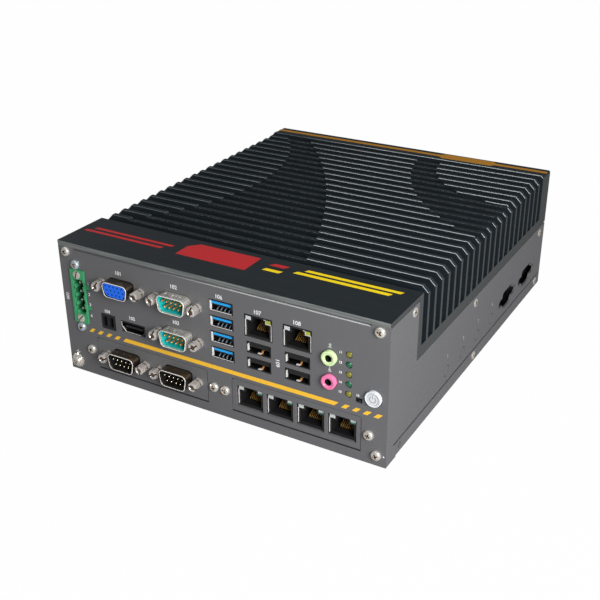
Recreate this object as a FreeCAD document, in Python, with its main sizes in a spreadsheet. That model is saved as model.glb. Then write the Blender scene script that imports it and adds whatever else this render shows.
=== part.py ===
import FreeCAD, Part
import os
from types import SimpleNamespace

import Sketcher

# A fanless industrial computer. +Z is up, the port panel faces -Y and +X is to its right.
# The origin is at the centre of the footprint, on the surface that the rubber feet stand on.
# All sizes are in millimetres. Heights of ports are measured from the panel's bottom edge.

SIZES = {
    # Front to back
    "bay_depth": 31.0,
    "bulkhead_thickness": 4.6,
    "first_gap": 5.55,
    "fin_thickness": 2.3,
    "fin_pitch": 8.445,
    "fin_count": 21,
    "fin_root": 1.0,
    "rear_block_depth": 14.15,
    # Upwards
    "foot_height": 2.5,
    "foot_radius": 6.0,
    "foot_inset": 22.0,
    "cover_step": 0.8,
    "board_level": 31.0,
    "standoff_length": 12.5,
    "base_thickness": 5.5,
    "panel_headroom": 10.3,
    "tab_rise": 1.3,
    "lip_gap": 2.0,
    "lip_thickness": 2.0,
    "fin_rise": 0.7,
    "case_joint_gap": 1.0,
    "cheek_gap": 0.8,
    # Heat sink details
    "fin_chamfer": 3.3,
    "block_chamfer": 1.5,
    "rail_drop": 9.5,
    "rail_width": 5.6,
    "lug_drop": 9.0,
    "lug_depth": 11.0,
    "recess_depth": 1.05,
    "left_inner_arc": 131.9,
    "left_inner_across": -85.8,
    "left_inner_back": 127.9,
    "left_outer_arc": 465.8,
    "left_outer_across": -319.0,
    "left_outer_back": -92.6,
    "right_outer_arc": 141.2,
    "right_outer_across": 251.4,
    "right_outer_back": 235.8,
    "right_inner_arc": 55.8,
    "right_inner_across": 183.9,
    "right_inner_back": 216.5,
    # Sheet metal
    "panel_thickness": 1.2,
    "wall_thickness": 1.2,
    "cover_thickness": 1.2,
    "plate_thickness": 1.2,
    "sheet_clearance": 0.2,
    "tab_width": 6.6,
    "panel_tab_width": 9.6,
    "tab_height": 9.0,
    "toe_depth": 9.8,
    "flange_height": 7.2,
    "flange_gap": 0.8,
    "fold_tab_width": 16.0,
    "fold_tab_overlap": 5.0,
    # Columns of ports, centre to centre
    "terminal_from_edge": 11.6,
    "vga_from_terminal": 29.25,
    "com_from_vga": 35.25,
    "usb_from_com": 26.45,
    "lan_from_usb": 21.1,
    "lan_spacing": 21.5,
    "audio_from_lan": 17.35,
    "lamps_from_audio": 9.8,
    "selector_from_lamps": 5.45,
    "button_from_selector": 7.65,
    "button_from_edge": 7.3,
    # Cut-outs
    "cut_clearance": 0.3,
    # Power terminal
    "terminal_width": 9.3,
    "terminal_length": 31.0,
    "terminal_proud": 1.0,
    "terminal_depth": 13.0,
    "terminal_foot": 0.3,
    "terminal_wall": 1.3,
    "terminal_pitch": 5.08,
    "terminal_ways": 4,
    "terminal_well_depth": 8.0,
    "terminal_pin": 1.0,
    "terminal_pin_length": 16.0,
    "terminal_pin_setback": 2.0,
    "terminal_screw_spacing": 25.6,
    "terminal_screw_radius": 2.3,
    "terminal_slot_depth": 0.4,
    "terminal_slot_width": 0.6,
    "latch_size": 2.4,
    "latch_spacing": 12.0,
    "bracket_screw_margin": 2.8,
    "bracket_screw_shift": 0.8,
    # D-shaped ports
    "jackscrew_spacing": 24.99,
    "jackscrew_radius": 2.7,
    "jackscrew_reach": 6.5,
    "jackscrew_bore": 1.3,
    "jackscrew_bore_depth": 4.5,
    "jackscrew_shank": 1.4,
    "jackscrew_shank_length": 5.0,
    "dee_flange_width": 30.8,
    "dee_flange_height": 12.5,
    "dee_flange_thickness": 1.0,
    "dee_width": 17.9,
    "dee_height": 9.3,
    "dee_slant": 1.6,
    "dee_corner": 2.6,
    "dee_wall": 0.5,
    "dee_reach": 6.0,
    "dee_floor": 1.0,
    "dee_body_width": 20.0,
    "dee_body_depth": 9.0,
    "dee_body_trim": 1.5,
    "dee_long_row": 5,
    "dee_pin_radius": 0.5,
    "dee_pin_setback": 0.8,
    "dee_pin_pitch": 2.77,
    "dee_row_pitch": 2.84,
    "vga_width": 16.9,
    "vga_height_across": 8.5,
    "vga_hole_radius": 0.5,
    "vga_hole_pitch": 2.6,
    "vga_row_pitch": 2.2,
    "vga_row_shift": 0.65,
    "vga_rows": 3,
    "vga_row_holes": 5,
    "vga_hole_depth": 4.0,
    "vga_level": 58.6,
    "com_level": 39.43,
    "com_stack_pitch": 19.54,
    # Remote switch header
    "header_width": 9.0,
    "header_height": 8.4,
    "header_level": 35.8,
    "header_depth": 9.0,
    "header_slot_width": 2.4,
    "header_slot_height": 5.6,
    "header_slot_depth": 6.0,
    "header_slot_spacing": 4.2,
    "header_from_vga": -11.05,
    # Digital display port
    "display_from_vga": 5.4,
    "display_level": 36.0,
    "display_width": 15.2,
    "display_height": 6.0,
    "display_wall": 0.5,
    "display_slant": 1.6,
    "display_depth": 11.0,
    "display_tongue_width": 11.0,
    "display_tongue_thickness": 1.2,
    "display_back": 3.0,
    # USB ports
    "usb_width": 13.3,
    "usb_height": 5.9,
    "usb_wall": 0.4,
    "usb_level": 36.6,
    "usb_pitch": 8.7,
    "usb_ports": 4,
    "usb_depth": 17.0,
    "usb_well_depth": 12.0,
    "usb_tongue_width": 11.0,
    "usb_tongue_thickness": 1.9,
    "usb_tongue_rise": 1.0,
    # Network ports
    "jack_width": 15.2,
    "jack_height": 11.6,
    "jack_wall": 0.6,
    "jack_depth": 21.0,
    "jack_well_depth": 14.0,
    "jack_mouth_width": 11.9,
    "jack_mouth_height": 6.9,
    "jack_sill": 1.3,
    "jack_step_width": 6.2,
    "jack_light_width": 2.9,
    "jack_light_height": 2.0,
    "jack_contacts": 8,
    "jack_contact_pitch": 1.02,
    "jack_contact_size": 0.4,
    "jack_contact_length": 6.5,
    "jack_contact_setback": 5.0,
    "jack_contact_tilt": 32.0,
    "lan_level": 56.75,
    "lower_usb_level": 36.25,
    "lower_usb_pitch": 8.75,
    # Audio jacks
    "audio_level": 39.1,
    "audio_pitch": 12.7,
    "audio_ring_radius": 3.8,
    "audio_bore": 1.75,
    "audio_reach": 2.0,
    "audio_bore_depth": 14.0,
    "audio_body_width": 11.5,
    "audio_body_depth": 16.0,
    # Status lamps
    "lamp_level": 34.7,
    "lamp_pitch": 5.25,
    "lamp_count": 5,
    "lamp_radius": 1.55,
    "lamp_length": 4.0,
    "lamp_setback": 0.3,
    "lamp_hole": 1.9,
    "lamp_holder_width": 4.6,
    "lamp_holder_depth": 5.0,
    # Mode selector
    "selector_level": 33.0,
    "selector_width": 3.2,
    "selector_height": 2.2,
    "selector_depth": 5.0,
    "selector_lever": 1.2,
    # Power button
    "button_level": 36.5,
    "button_radius": 4.15,
    "button_reach": 1.5,
    "button_travel": 1.0,
    "button_gap": 0.4,
    "button_flange": 0.8,
    "button_flange_radius": 4.9,
    "button_stem_radius": 1.4,
    "button_stem_length": 6.0,
    "button_play": 0.25,
    "switch_width": 7.0,
    "switch_height": 10.0,
    "switch_depth": 7.0,
    # Module bays
    "serial_plate_inset": 13.8,
    "lan_plate_inset": 6.8,
    "plate_parting": 1.7,
    "module_window_margin": 6.4,
    "module_window_height": 19.3,
    "module_window_level": 5.3,
    "module_window_corner": 1.0,
    "module_field_gap": 0.3,
    "module_field_slot": 0.8,
    "module_plate_rise": 1.2,
    "module_plate_cover": 1.9,
    "module_screw_margin": 2.5,
    "module_screw_level": 15.9,
    "module_board_level": 8.4,
    "module_board_depth": 62.0,
    "serial_port_spacing": 33.9,
    "serial_port_level": 15.75,
    "serial_port_shift": 0.9,
    "module_jack_spacing": 17.2,
    "module_jack_level": 15.15,
    "module_jack_count": 4,
    # Boards
    "board_thickness": 1.6,
    "board_depth": 165.0,
    "board_margin": 1.5,
    "standoff_radius": 3.0,
    "standoff_hole": 1.6,
    "standoff_inset": 14.0,
    "standoff_front": 42.0,
    "standoff_rear": 150.0,
    "spacer_radius": 2.6,
    "spacer_back": 52.0,
    "spacer_half_span": 34.0,
    "processor_width": 35.0,
    "processor_height": 2.0,
    "processor_back": 95.0,
    "pad_thickness": 0.5,
    "pad_width": 30.0,
    "heat_block_width": 46.0,
    "memory_width": 70.0,
    "memory_socket_depth": 8.0,
    "memory_socket_height": 5.2,
    "memory_module_width": 67.6,
    "memory_module_depth": 30.0,
    "memory_module_thickness": 1.2,
    "memory_back": 70.0,
    "memory_slot": 2.0,
    "drive_width": 69.85,
    "drive_length": 100.0,
    "drive_height": 7.0,
    "drive_back": 118.0,
    "drive_across": 50.0,
    "drive_tray_thickness": 1.0,
    "drive_tray_lip": 6.0,
    "cell_radius": 10.0,
    "cell_height": 3.2,
    "cell_across": 45.0,
    "cell_back": 60.0,
    "holder_wall": 1.5,
    "holder_floor": 0.8,
    # Side wall features, measured back from the front face
    "side_port_first": 167.7,
    "side_port_pitch": 35.0,
    "side_port_level": 17.9,
    "side_port_width": 19.5,
    "side_port_height": 11.7,
    "side_port_slant": 2.0,
    "side_port_ear": 2.6,
    "knockout_first": 73.0,
    "knockout_pitch": 22.35,
    "knockout_count": 4,
    "knockout_level": 15.5,
    "knockout_radius": 3.4,
    "knockout_slit": 0.45,
    "knockout_bridge": 0.9,
    # Fasteners
    "screw_head_radius": 2.6,
    "screw_head_height": 1.8,
    "screw_shank_radius": 1.4,
    "screw_shank_length": 4.2,
    "screw_hole": 1.6,
    "thread_play": 0.05,
    "corner_screw_inset": 5.1,
    "corner_screw_drop": 2.8,
    "corner_screw_rise": 5.9,
    "washer_radius": 4.2,
    "washer_thickness": 0.6,
    "case_screw_radius": 2.4,
    "case_screw_height": 0.5,
    "lug_screw_inset": 5.0,
    "lug_screw_drop": 4.0,
    "rail_screw_drop": 4.8,
    "middle_screw_back": 110.5,
    "rear_screw_inset": 9.6,
    "cover_screw_level": 4.7,
    "cover_screw_back": 113.5,
    "cover_rear_inset": 8.6,
    "bracket_hole_radius": 1.7,
    "bracket_hole_front": 15.0,
    "bracket_hole_rear": 216.0,
}


class Length:
    """A number together with the formula that it comes from."""

    def __init__(self, value, formula):
        self.value = float(value)
        self.formula = formula

    def __add__(self, other):
        other = as_length(other)
        return Length(self.value + other.value, f"({self.formula} + {other.formula})")

    def __sub__(self, other):
        other = as_length(other)
        return Length(self.value - other.value, f"({self.formula} - {other.formula})")

    def __mul__(self, other):
        other = as_length(other)
        return Length(self.value * other.value, f"({self.formula} * {other.formula})")

    def __truediv__(self, other):
        other = as_length(other)
        return Length(self.value / other.value, f"({self.formula} / {other.formula})")

    def __neg__(self):
        return Length(-self.value, f"(0 - {self.formula})")

    def __radd__(self, other):
        return as_length(other) + self

    def __rsub__(self, other):
        return as_length(other) - self

    def __rmul__(self, other):
        return as_length(other) * self


def as_length(amount):
    """Take a plain number or a length as a length."""
    return amount if isinstance(amount, Length) else Length(amount, repr(float(amount)))


doc = FreeCAD.newDocument("fanless_computer")
sheet = doc.addObject("Spreadsheet::Sheet", "Sizes")
for row, (name, value) in enumerate(SIZES.items(), 1):
    sheet.set(f"A{row}", name)
    sheet.set(f"B{row}", str(value))
    sheet.setAlias(f"B{row}", name)
doc.recompute()
s = SimpleNamespace(**{name: Length(value, "Sizes." + name) for name, value in SIZES.items()})
PARTS = []


# Places that several pieces share

bulkhead_back = s.bay_depth + s.bulkhead_thickness
block_front = bulkhead_back + s.first_gap + s.fin_pitch * s.fin_count
case_depth = block_front + s.rear_block_depth
terminal_to_usb = s.vga_from_terminal + s.com_from_vga + s.usb_from_com
usb_to_audio = s.lan_from_usb + s.lan_spacing + s.audio_from_lan
audio_to_button = s.lamps_from_audio + s.selector_from_lamps + s.button_from_selector
ports_width = terminal_to_usb + usb_to_audio + audio_to_button
case_width = s.terminal_from_edge + ports_width + s.button_from_edge

left = -case_width / 2
right = case_width / 2
terminal_column = left + s.terminal_from_edge
vga_column = terminal_column + s.vga_from_terminal
com_column = vga_column + s.com_from_vga
usb_column = com_column + s.usb_from_com
lan_column = usb_column + s.lan_from_usb
audio_column = lan_column + s.lan_spacing + s.audio_from_lan
lamp_column = audio_column + s.lamps_from_audio
selector_column = lamp_column + s.selector_from_lamps
button_column = selector_column + s.button_from_selector
front = -(case_depth - s.jackscrew_reach) / 2
rear = front + case_depth
panel_back = front + s.panel_thickness
plate_back = panel_back + s.plate_thickness
hem = s.foot_height - s.cover_step
thread_hole = s.screw_shank_radius + s.thread_play
board_top = hem + s.board_level
board_under = board_top - s.board_thickness
panel_top = hem + s.usb_level + s.usb_pitch * (s.usb_ports - 1) + s.panel_headroom
lip_under = panel_top + s.lip_gap
lip_top = lip_under + s.lip_thickness
fin_top = lip_top + s.fin_rise
base_under = board_top + s.standoff_length
base_top = base_under + s.base_thickness
wall_top = base_under - s.case_joint_gap
cheek_top = lip_under - s.cheek_gap
cover_under = hem + s.cover_step
cover_top = cover_under + s.cover_thickness
cover_front = panel_back + s.toe_depth
cover_back = rear - s.wall_thickness - s.sheet_clearance
module_board_top = hem + s.module_board_level
module_board_under = module_board_top - s.board_thickness
plate_width = (case_width - s.serial_plate_inset - s.lan_plate_inset - s.plate_parting) / 2
serial_bay = left + s.serial_plate_inset + plate_width / 2
lan_bay = right - s.lan_plate_inset - plate_width / 2
module_screw_spacing = plate_width - s.module_screw_margin * 2
module_window_width = plate_width - s.module_window_margin * 2
module_window_middle = hem + s.module_window_level + s.module_window_height / 2


def bind(thing, target, amount):
    """Set one property of an object by its formula."""
    thing.setExpression(target, as_length(amount).formula)


def keep(thing, name):
    """Name a finished piece and note it for export."""
    thing.Label = name
    PARTS.append(thing)
    return thing


def block(across, back, up):
    """A block between three pairs of limits."""
    piece = doc.addObject("Part::Box", "block")
    limits = (("x", "Length", across), ("y", "Width", back), ("z", "Height", up))
    for direction, size, (low, high) in limits:
        bind(piece, "Placement.Base." + direction, low)
        bind(piece, size, as_length(high) - low)
    return piece


def around(middle, size):
    """The two limits of a size about its middle."""
    return middle - size / 2, middle + size / 2


# How close to straight back an edge runs to count as a front-to-back edge
ALONG_DEPTH = 0.999

TURNS = {
    "x": FreeCAD.Rotation(FreeCAD.Vector(0, 1, 0), 90),
    "y": FreeCAD.Rotation(FreeCAD.Vector(1, 0, 0), -90),
    "z": FreeCAD.Rotation(),
}


# Sides of the plain prisms that stand for small round pieces and their holes
PIN_SIDES = 6
HEAD_SIDES = 8
RING_SIDES = 12


def rod(direction, start, radius, length, sides=None):
    """A rod from a start point, along one axis: round, or with some number of sides."""
    if sides:
        piece = doc.addObject("Part::Prism", "rod")
        piece.Polygon = sides
    else:
        piece = doc.addObject("Part::Cylinder", "rod")
    piece.Placement = FreeCAD.Placement(FreeCAD.Vector(), TURNS[direction])
    for letter, amount in zip("xyz", start):
        bind(piece, "Placement.Base." + letter, amount)
    bind(piece, "Circumradius" if sides else "Radius", radius)
    bind(piece, "Height", length)
    return piece


def joined(pieces):
    """One solid from pieces that meet."""
    if len(pieces) == 1:
        return pieces[0]
    whole = doc.addObject("Part::MultiFuse", "joined")
    whole.Shapes = list(pieces)
    whole.Refine = True
    return whole


def group(pieces):
    """Several separate solids kept together."""
    if len(pieces) == 1:
        return pieces[0]
    whole = doc.addObject("Part::Compound", "group")
    whole.Links = list(pieces)
    return whole


def less(base, tools):
    """A piece with other pieces cut away."""
    result = doc.addObject("Part::Cut", "cut")
    result.Base = base
    result.Tool = group(tools)
    result.Refine = True
    return result


def new_body(name):
    """An empty body for sketches and features."""
    body = doc.addObject("PartDesign::Body", name + "_body")
    body.Label = name
    return body


def outline(body, role, distance, loops=(), circles=()):
    """A sketch on one of a body's own planes, with every point placed by its formula."""
    drawing = body.newObject("Sketcher::SketchObject", "outline")
    plane = next(item for item in body.Origin.OriginFeatures if item.Role == role)
    drawing.AttachmentSupport = (plane, [""])
    drawing.MapMode = "FlatFace"
    bind(drawing, "AttachmentOffset.Base.z", -distance if role == "XZ_Plane" else distance)
    for points in loops:
        points = [(as_length(across), as_length(up)) for across, up in points]
        places = [FreeCAD.Vector(across.value, up.value, 0) for across, up in points]
        first = drawing.GeometryCount
        ends = places[1:] + places[:1]
        drawing.addGeometry([Part.LineSegment(start, end) for start, end in zip(places, ends)])
        rules = [
            Sketcher.Constraint("Coincident", first + step, 2, first + (step + 1) % len(points), 1)
            for step in range(len(points))
        ]
        drawing.addConstraint(rules)
        for step, (across, up) in enumerate(points):
            place_point(drawing, first + step, 1, across, up)
    for across, up, radius in circles:
        across, up, radius = as_length(across), as_length(up), as_length(radius)
        centre = FreeCAD.Vector(across.value, up.value, 0)
        ring = drawing.addGeometry(Part.Circle(centre, FreeCAD.Vector(0, 0, 1), radius.value))
        rule = drawing.addConstraint(Sketcher.Constraint("Radius", ring, radius.value))
        drawing.setExpression(f"Constraints[{rule}]", radius.formula)
        place_point(drawing, ring, 3, across, up)
    return drawing


def place_point(drawing, line, end, across, up):
    """Hold one point of a sketch at its two formulas."""
    for kind, amount in (("DistanceX", across), ("DistanceY", up)):
        rule = drawing.addConstraint(Sketcher.Constraint(kind, line, end, amount.value))
        drawing.setExpression(f"Constraints[{rule}]", amount.formula)


def rectangle(across, up):
    """The four corners between two pairs of limits."""
    return [(across[0], up[0]), (across[1], up[0]), (across[1], up[1]), (across[0], up[1])]


# Share of a corner's size by which the middle of its rounding lies in from each side
CORNER_SHARE = 0.293


def dee(across, up, width, height, slant, corner):
    """A D shape with its wide side up, each corner rounded by two short runs."""
    half, rise = width / 2, height / 2
    lean = slant / height
    points = []
    for side, level, inset, leaving in (
        (-1, -1, slant, False),
        (1, -1, slant, True),
        (1, 1, Length(0, "0"), False),
        (-1, 1, Length(0, "0"), True),
    ):
        tip_across = across + (half - inset) * side
        tip_up = up + rise * level
        slope = lean * corner * side * level
        cut = [
            (tip_across - slope, tip_up - corner * level),
            (tip_across - corner * CORNER_SHARE * side, tip_up - corner * CORNER_SHARE * level),
            (tip_across - corner * side, tip_up),
        ]
        points += cut[::-1] if leaving else cut
    return points


def pad(body, drawing, length, reverse=False):
    """Raise a sketch into a solid."""
    feature = body.newObject("PartDesign::Pad", "pad")
    feature.Profile = drawing
    bind(feature, "Length", length)
    feature.Reversed = reverse
    body.Tip = feature
    return feature


def pocket(body, drawing, length, reverse=False):
    """Cut a sketch into the solid, and make sure that it cut."""
    before = body.Tip
    feature = body.newObject("PartDesign::Pocket", "pocket")
    feature.Profile = drawing
    bind(feature, "Length", length)
    feature.Reversed = reverse
    body.Tip = feature
    doc.recompute()
    if feature.Shape.Volume >= before.Shape.Volume:
        raise RuntimeError(f"{body.Label}: {feature.Name} cuts nothing")
    return feature


def cut_corners(body, size, chosen):
    """Cut off the straight front-to-back edges whose middle is chosen."""
    doc.recompute()
    base = body.Tip
    names = []
    for number, edge in enumerate(base.Shape.Edges, 1):
        if edge.Curve.TypeId != "Part::GeomLine" or abs(edge.Curve.Direction.y) < ALONG_DEPTH:
            continue
        if chosen(edge.CenterOfMass):
            names.append(f"Edge{number}")
    feature = body.newObject("PartDesign::Chamfer", "cut_corner")
    feature.Base = (base, names)
    bind(feature, "Size", size)
    body.Tip = feature
    return feature


# Case


def make_heatsink():
    """The finned lid: one extrusion across the case, with arcs milled into the fins."""
    body = new_body("finned_lid")
    back = front + bulkhead_back
    block_face = front + block_front
    rib_back = block_face + s.fin_thickness
    profile = [
        (front, lip_under),
        (front + s.bay_depth, lip_under),
        (front + s.bay_depth, base_under),
        (rear, base_under),
        (rear, lip_top),
        (rib_back, lip_top),
        (rib_back, fin_top),
        (block_face, fin_top),
        (block_face, base_top),
        (back, base_top),
        (back, lip_top),
        (front, lip_top),
    ]
    pad(body, outline(body, "YZ_Plane", left, [profile]), case_width)
    fin_face = back + s.first_gap
    fin_back = fin_face + s.fin_thickness
    blade = [
        (fin_face, base_top - s.fin_root),
        (fin_back, base_top - s.fin_root),
        (fin_back, fin_top),
        (fin_face, fin_top),
    ]
    fin = pad(body, outline(body, "YZ_Plane", left, [blade]), case_width)
    fins = body.newObject("PartDesign::LinearPattern", "fins")
    fins.Originals = [fin]
    fins.Direction = (next(item for item in body.Origin.OriginFeatures if item.Role == "Y_Axis"), [""])
    bind(fins, "Length", s.fin_pitch * (s.fin_count - 1))
    bind(fins, "Occurrences", s.fin_count)
    body.Tip = fins
    rails = []
    lugs = []
    for side, inward in ((left, 1), (right, -1)):
        outer = side + (s.wall_thickness + s.sheet_clearance) * inward
        span = sorted((outer, outer + s.rail_width * inward), key=lambda place: place.value)
        rails.append(rectangle(span, (base_under - s.rail_drop, base_under)))
        lugs.append(rectangle(span, (lip_under - s.lug_drop, lip_under)))
    lug_back = front + s.bay_depth
    pad(body, outline(body, "XZ_Plane", lug_back - s.lug_depth, lugs), s.lug_depth, True)
    rail_length = rear - s.wall_thickness - s.sheet_clearance - lug_back
    pad(body, outline(body, "XZ_Plane", lug_back, rails), rail_length, True)
    for start, length, cut in (
        (back, block_face - back, s.fin_chamfer),
        (block_face, s.rear_block_depth, s.block_chamfer),
    ):
        corners = []
        for side, inward in ((left, 1), (right, -1)):
            corners.append([(side, fin_top - cut), (side, fin_top), (side + cut * inward, fin_top)])
        pocket(body, outline(body, "XZ_Plane", start, corners), length)
    floor = fin_top - s.recess_depth

    def disc(across, back_place, radius):
        return rod("z", (left + across, front + back_place, floor), radius, s.recess_depth)

    left_arc = less(
        disc(s.left_outer_across, s.left_outer_back, s.left_outer_arc),
        [disc(s.left_inner_across, s.left_inner_back, s.left_inner_arc)],
    )
    right_arc = less(
        disc(s.right_outer_across, s.right_outer_back, s.right_outer_arc),
        [disc(s.right_inner_across, s.right_inner_back, s.right_inner_arc)],
    )
    fin_zone = block((left, right), (back, block_face), (floor, fin_top))
    recess = doc.addObject("Part::MultiCommon", "recess")
    recess.Shapes = [fin_zone, group([left_arc, right_arc])]
    keep(less(body, [recess] + side_holes(thread_hole)), "heatsink")


def make_front_panel():
    """The port panel, with a cut-out for every port, lamp and screw."""
    body = new_body("panel_sheet")
    top = panel_top + s.tab_rise
    edge = [
        (left, hem),
        (right, hem),
        (right, top),
        (right - s.panel_tab_width, top),
        (right - s.panel_tab_width, panel_top),
        (left + s.panel_tab_width, panel_top),
        (left + s.panel_tab_width, top),
        (left, top),
    ]
    pad(body, outline(body, "XZ_Plane", front, [edge]), s.panel_thickness, True)
    play = s.cut_clearance * 2
    windows = []
    for bay in (serial_bay, lan_bay):
        window = (around(bay, module_window_width), around(module_window_middle, s.module_window_height))
        windows.append(rectangle(*window))
    pocket(body, outline(body, "XZ_Plane", front, windows), s.panel_thickness)
    low, high = around(module_window_middle, s.module_window_height + s.module_window_corner)
    cut_corners(body, s.module_window_corner, lambda middle: low.value < middle.z < high.value)
    ports = []
    for across, up, width, height in port_windows():
        ports.append(rectangle(around(across, width + play), around(up, height + play)))
    pocket(body, outline(body, "XZ_Plane", front, ports), s.panel_thickness)
    across, middle, width, length = port_windows()[0]
    notches = []
    for side in (-1, 1):
        span = (across, across + width / 2 + s.latch_size + s.cut_clearance)
        notches.append(rectangle(span, around(middle + s.latch_spacing / 2 * side, s.latch_size + play)))
    pocket(body, outline(body, "XZ_Plane", front, notches), s.panel_thickness)
    shapes = []
    for across, up, width, height in upper_dees():
        shapes.append(dee(across, up, width + play, height + play, s.dee_slant, s.dee_corner))
    pocket(body, outline(body, "XZ_Plane", front, shapes), s.panel_thickness)
    holes = [(button_column, hem + s.button_level, s.button_radius + s.button_gap)]
    pocket(body, outline(body, "XZ_Plane", front, [], holes), s.panel_thickness)
    drills = sheet_holes(panel_screws() + [post for port in upper_dees() for post in post_places(*port[:2])])
    for level in range(int(s.lamp_count.value)):
        place = (lamp_column, front, hem + s.lamp_level + s.lamp_pitch * level)
        drills.append(rod("y", place, s.lamp_hole, s.panel_thickness, HEAD_SIDES))
    for level in (0, 1):
        place = (audio_column, front, hem + s.audio_level + s.audio_pitch * level)
        radius = s.audio_ring_radius + s.cut_clearance
        drills.append(rod("y", place, radius, s.panel_thickness, RING_SIDES))
    keep(less(body, drills), "front_panel")


def sheet_holes(places, radius=None):
    """Drills for holes through the panel and the plates behind it."""
    size = radius or s.screw_hole
    return [rod("y", (across, front, up), size, plate_back - front, PIN_SIDES) for across, up in places]


def side_holes(radius, places=None):
    """Drills for holes through both sides of the case."""
    rows = places or side_screw_places()
    return [rod("x", (left, back, up), radius, case_width, PIN_SIDES) for back, up in rows]


def post_places(across, up):
    """Centres of the two posts beside a D-shaped port."""
    return [(across + s.jackscrew_spacing / 2 * side, up) for side in (-1, 1)]


def upper_dees():
    """The D-shaped ports in the panel itself: centre, width and height of each shell."""
    com = com_column
    return [
        (vga_column, hem + s.vga_level, s.vga_width, s.vga_height_across),
        (com, hem + s.com_level, s.dee_width, s.dee_height),
        (com, hem + s.com_level + s.com_stack_pitch, s.dee_width, s.dee_height),
    ]


def port_windows():
    """The rectangular ports in the panel: centre, width and height."""
    terminal = terminal_column
    middle = board_top + s.terminal_foot + s.terminal_length / 2
    vga = vga_column
    windows = [
        (terminal, middle, s.terminal_width, s.terminal_length),
        (vga + s.header_from_vga, hem + s.header_level, s.header_width, s.header_height),
        (vga + s.display_from_vga, hem + s.display_level, s.display_width, s.display_height),
        (selector_column, hem + s.selector_level, s.selector_width, s.selector_height),
    ]
    for level in range(int(s.usb_ports.value)):
        up = hem + s.usb_level + s.usb_pitch * level
        windows.append((usb_column, up, s.usb_width, s.usb_height))
    for number in (0, 1):
        across = lan_column + s.lan_spacing * number
        windows.append((across, hem + s.lan_level, s.jack_width, s.jack_height))
        for level in (0, 1):
            up = hem + s.lower_usb_level + s.lower_usb_pitch * level
            windows.append((across, up, s.usb_width, s.usb_height))
    return windows


def module_screws():
    """Centres of the four screws that hold the two module plates."""
    places = []
    for bay in (serial_bay, lan_bay):
        for side in (-1, 1):
            places.append((bay + module_screw_spacing / 2 * side, hem + s.module_screw_level))
    return places


def bracket_screws():
    """Centres of the two screws above and below the power terminal."""
    middle = board_top + s.terminal_foot + s.terminal_length / 2
    reach = s.terminal_length / 2 + s.bracket_screw_margin
    across = terminal_column - s.bracket_screw_shift
    return [(across, middle + reach), (across, middle - reach)]


def corner_screws():
    """Centres of the four screws in the panel's corners; the lower left one is the earth screw."""
    top = panel_top + s.tab_rise - s.corner_screw_drop
    low = hem + s.corner_screw_rise
    inset = s.corner_screw_inset
    return [(left + inset, top), (right - inset, top), (right - inset, low), (left + inset, low)]


def panel_screws():
    """Centres of all the screws in the panel."""
    return corner_screws() + bracket_screws() + module_screws()


def make_chassis():
    """Side walls, rear wall and fixing tabs, folded from one sheet."""
    body = new_body("folded_case")
    wall = s.wall_thickness
    skirt = hem + s.cover_step + s.flange_height + s.flange_gap
    side = [
        (panel_back, hem),
        (cover_front, hem),
        (cover_front, skirt),
        (cover_back, skirt),
        (cover_back, cover_under),
        (rear, cover_under),
        (rear, wall_top),
        (front + s.bay_depth, wall_top),
        (front + s.bay_depth, cheek_top),
        (panel_back, cheek_top),
    ]
    pad(body, outline(body, "YZ_Plane", left, [side]), wall)
    pad(body, outline(body, "XZ_Plane", rear, [rectangle((left, right), (cover_under, wall_top))]), wall)
    pad(body, outline(body, "YZ_Plane", right - wall, [side]), wall)
    tabs = []
    for start, end in ((left, left + s.tab_width), (right - s.tab_width, right)):
        tabs.append(rectangle((start, end), (hem, hem + s.tab_height)))
        tabs.append(rectangle((start, end), (cheek_top - s.tab_height, cheek_top)))
    pad(body, outline(body, "XZ_Plane", panel_back, tabs), wall, True)
    folds = []
    for middle, level in cover_screw_places():
        folds.append(rectangle(around(middle, s.fold_tab_width), (cover_top, skirt + s.fold_tab_overlap)))
    pad(body, outline(body, "YZ_Plane", left + wall, folds), wall)
    pad(body, outline(body, "YZ_Plane", right - wall * 2, folds), wall)
    ports = []
    drills = []
    for number in (0, 1):
        back = front + s.side_port_first + s.side_port_pitch * number
        up = hem + s.side_port_level
        size = (s.side_port_width, s.side_port_height, s.side_port_slant, s.dee_corner)
        ports.append(dee(back, up, *size))
        for place, level in post_places(back, up):
            drills.append(rod("x", (right - wall, place, level), s.side_port_ear, wall, RING_SIDES))
    pocket(body, outline(body, "YZ_Plane", right - wall, ports), wall, True)
    slots = []
    for number in (0, 1):
        back = front + s.side_port_first + s.side_port_pitch * number
        up = hem + s.side_port_level
        slots.append(rectangle(around(back, s.jackscrew_spacing), around(up, s.side_port_ear * 2)))
    pocket(body, outline(body, "YZ_Plane", right - wall, slots), wall, True)
    for number in range(int(s.knockout_count.value)):
        middle = (right - wall, front + s.knockout_first + s.knockout_pitch * number, hem + s.knockout_level)
        ring = less(
            rod("x", middle, s.knockout_radius, wall, RING_SIDES),
            [rod("x", middle, s.knockout_radius - s.knockout_slit, wall, RING_SIDES)],
        )
        bridge = block(
            (right - wall, right),
            around(middle[1], s.knockout_bridge),
            around(middle[2], s.knockout_radius * 2 + s.knockout_slit),
        )
        drills.append(less(ring, [bridge]))
    drills += sheet_holes(corner_screws(), thread_hole) + side_holes(s.screw_hole)
    drills += side_holes(thread_hole, cover_screw_places())
    keep(less(body, drills), "chassis")


def cover_screw_places():
    """Places of the two screws on each side of the bottom cover."""
    rows = (front + s.cover_screw_back, rear - s.cover_rear_inset)
    return [(back, hem + s.cover_screw_level) for back in rows]


def side_screw_places():
    """Places of the three screws that hold each side wall to the lid."""
    return [
        (front + s.bay_depth - s.lug_screw_inset, lip_under - s.lug_screw_drop),
        (front + s.middle_screw_back, base_under - s.rail_screw_drop),
        (rear - s.rear_screw_inset, base_under - s.rail_screw_drop),
    ]


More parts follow.
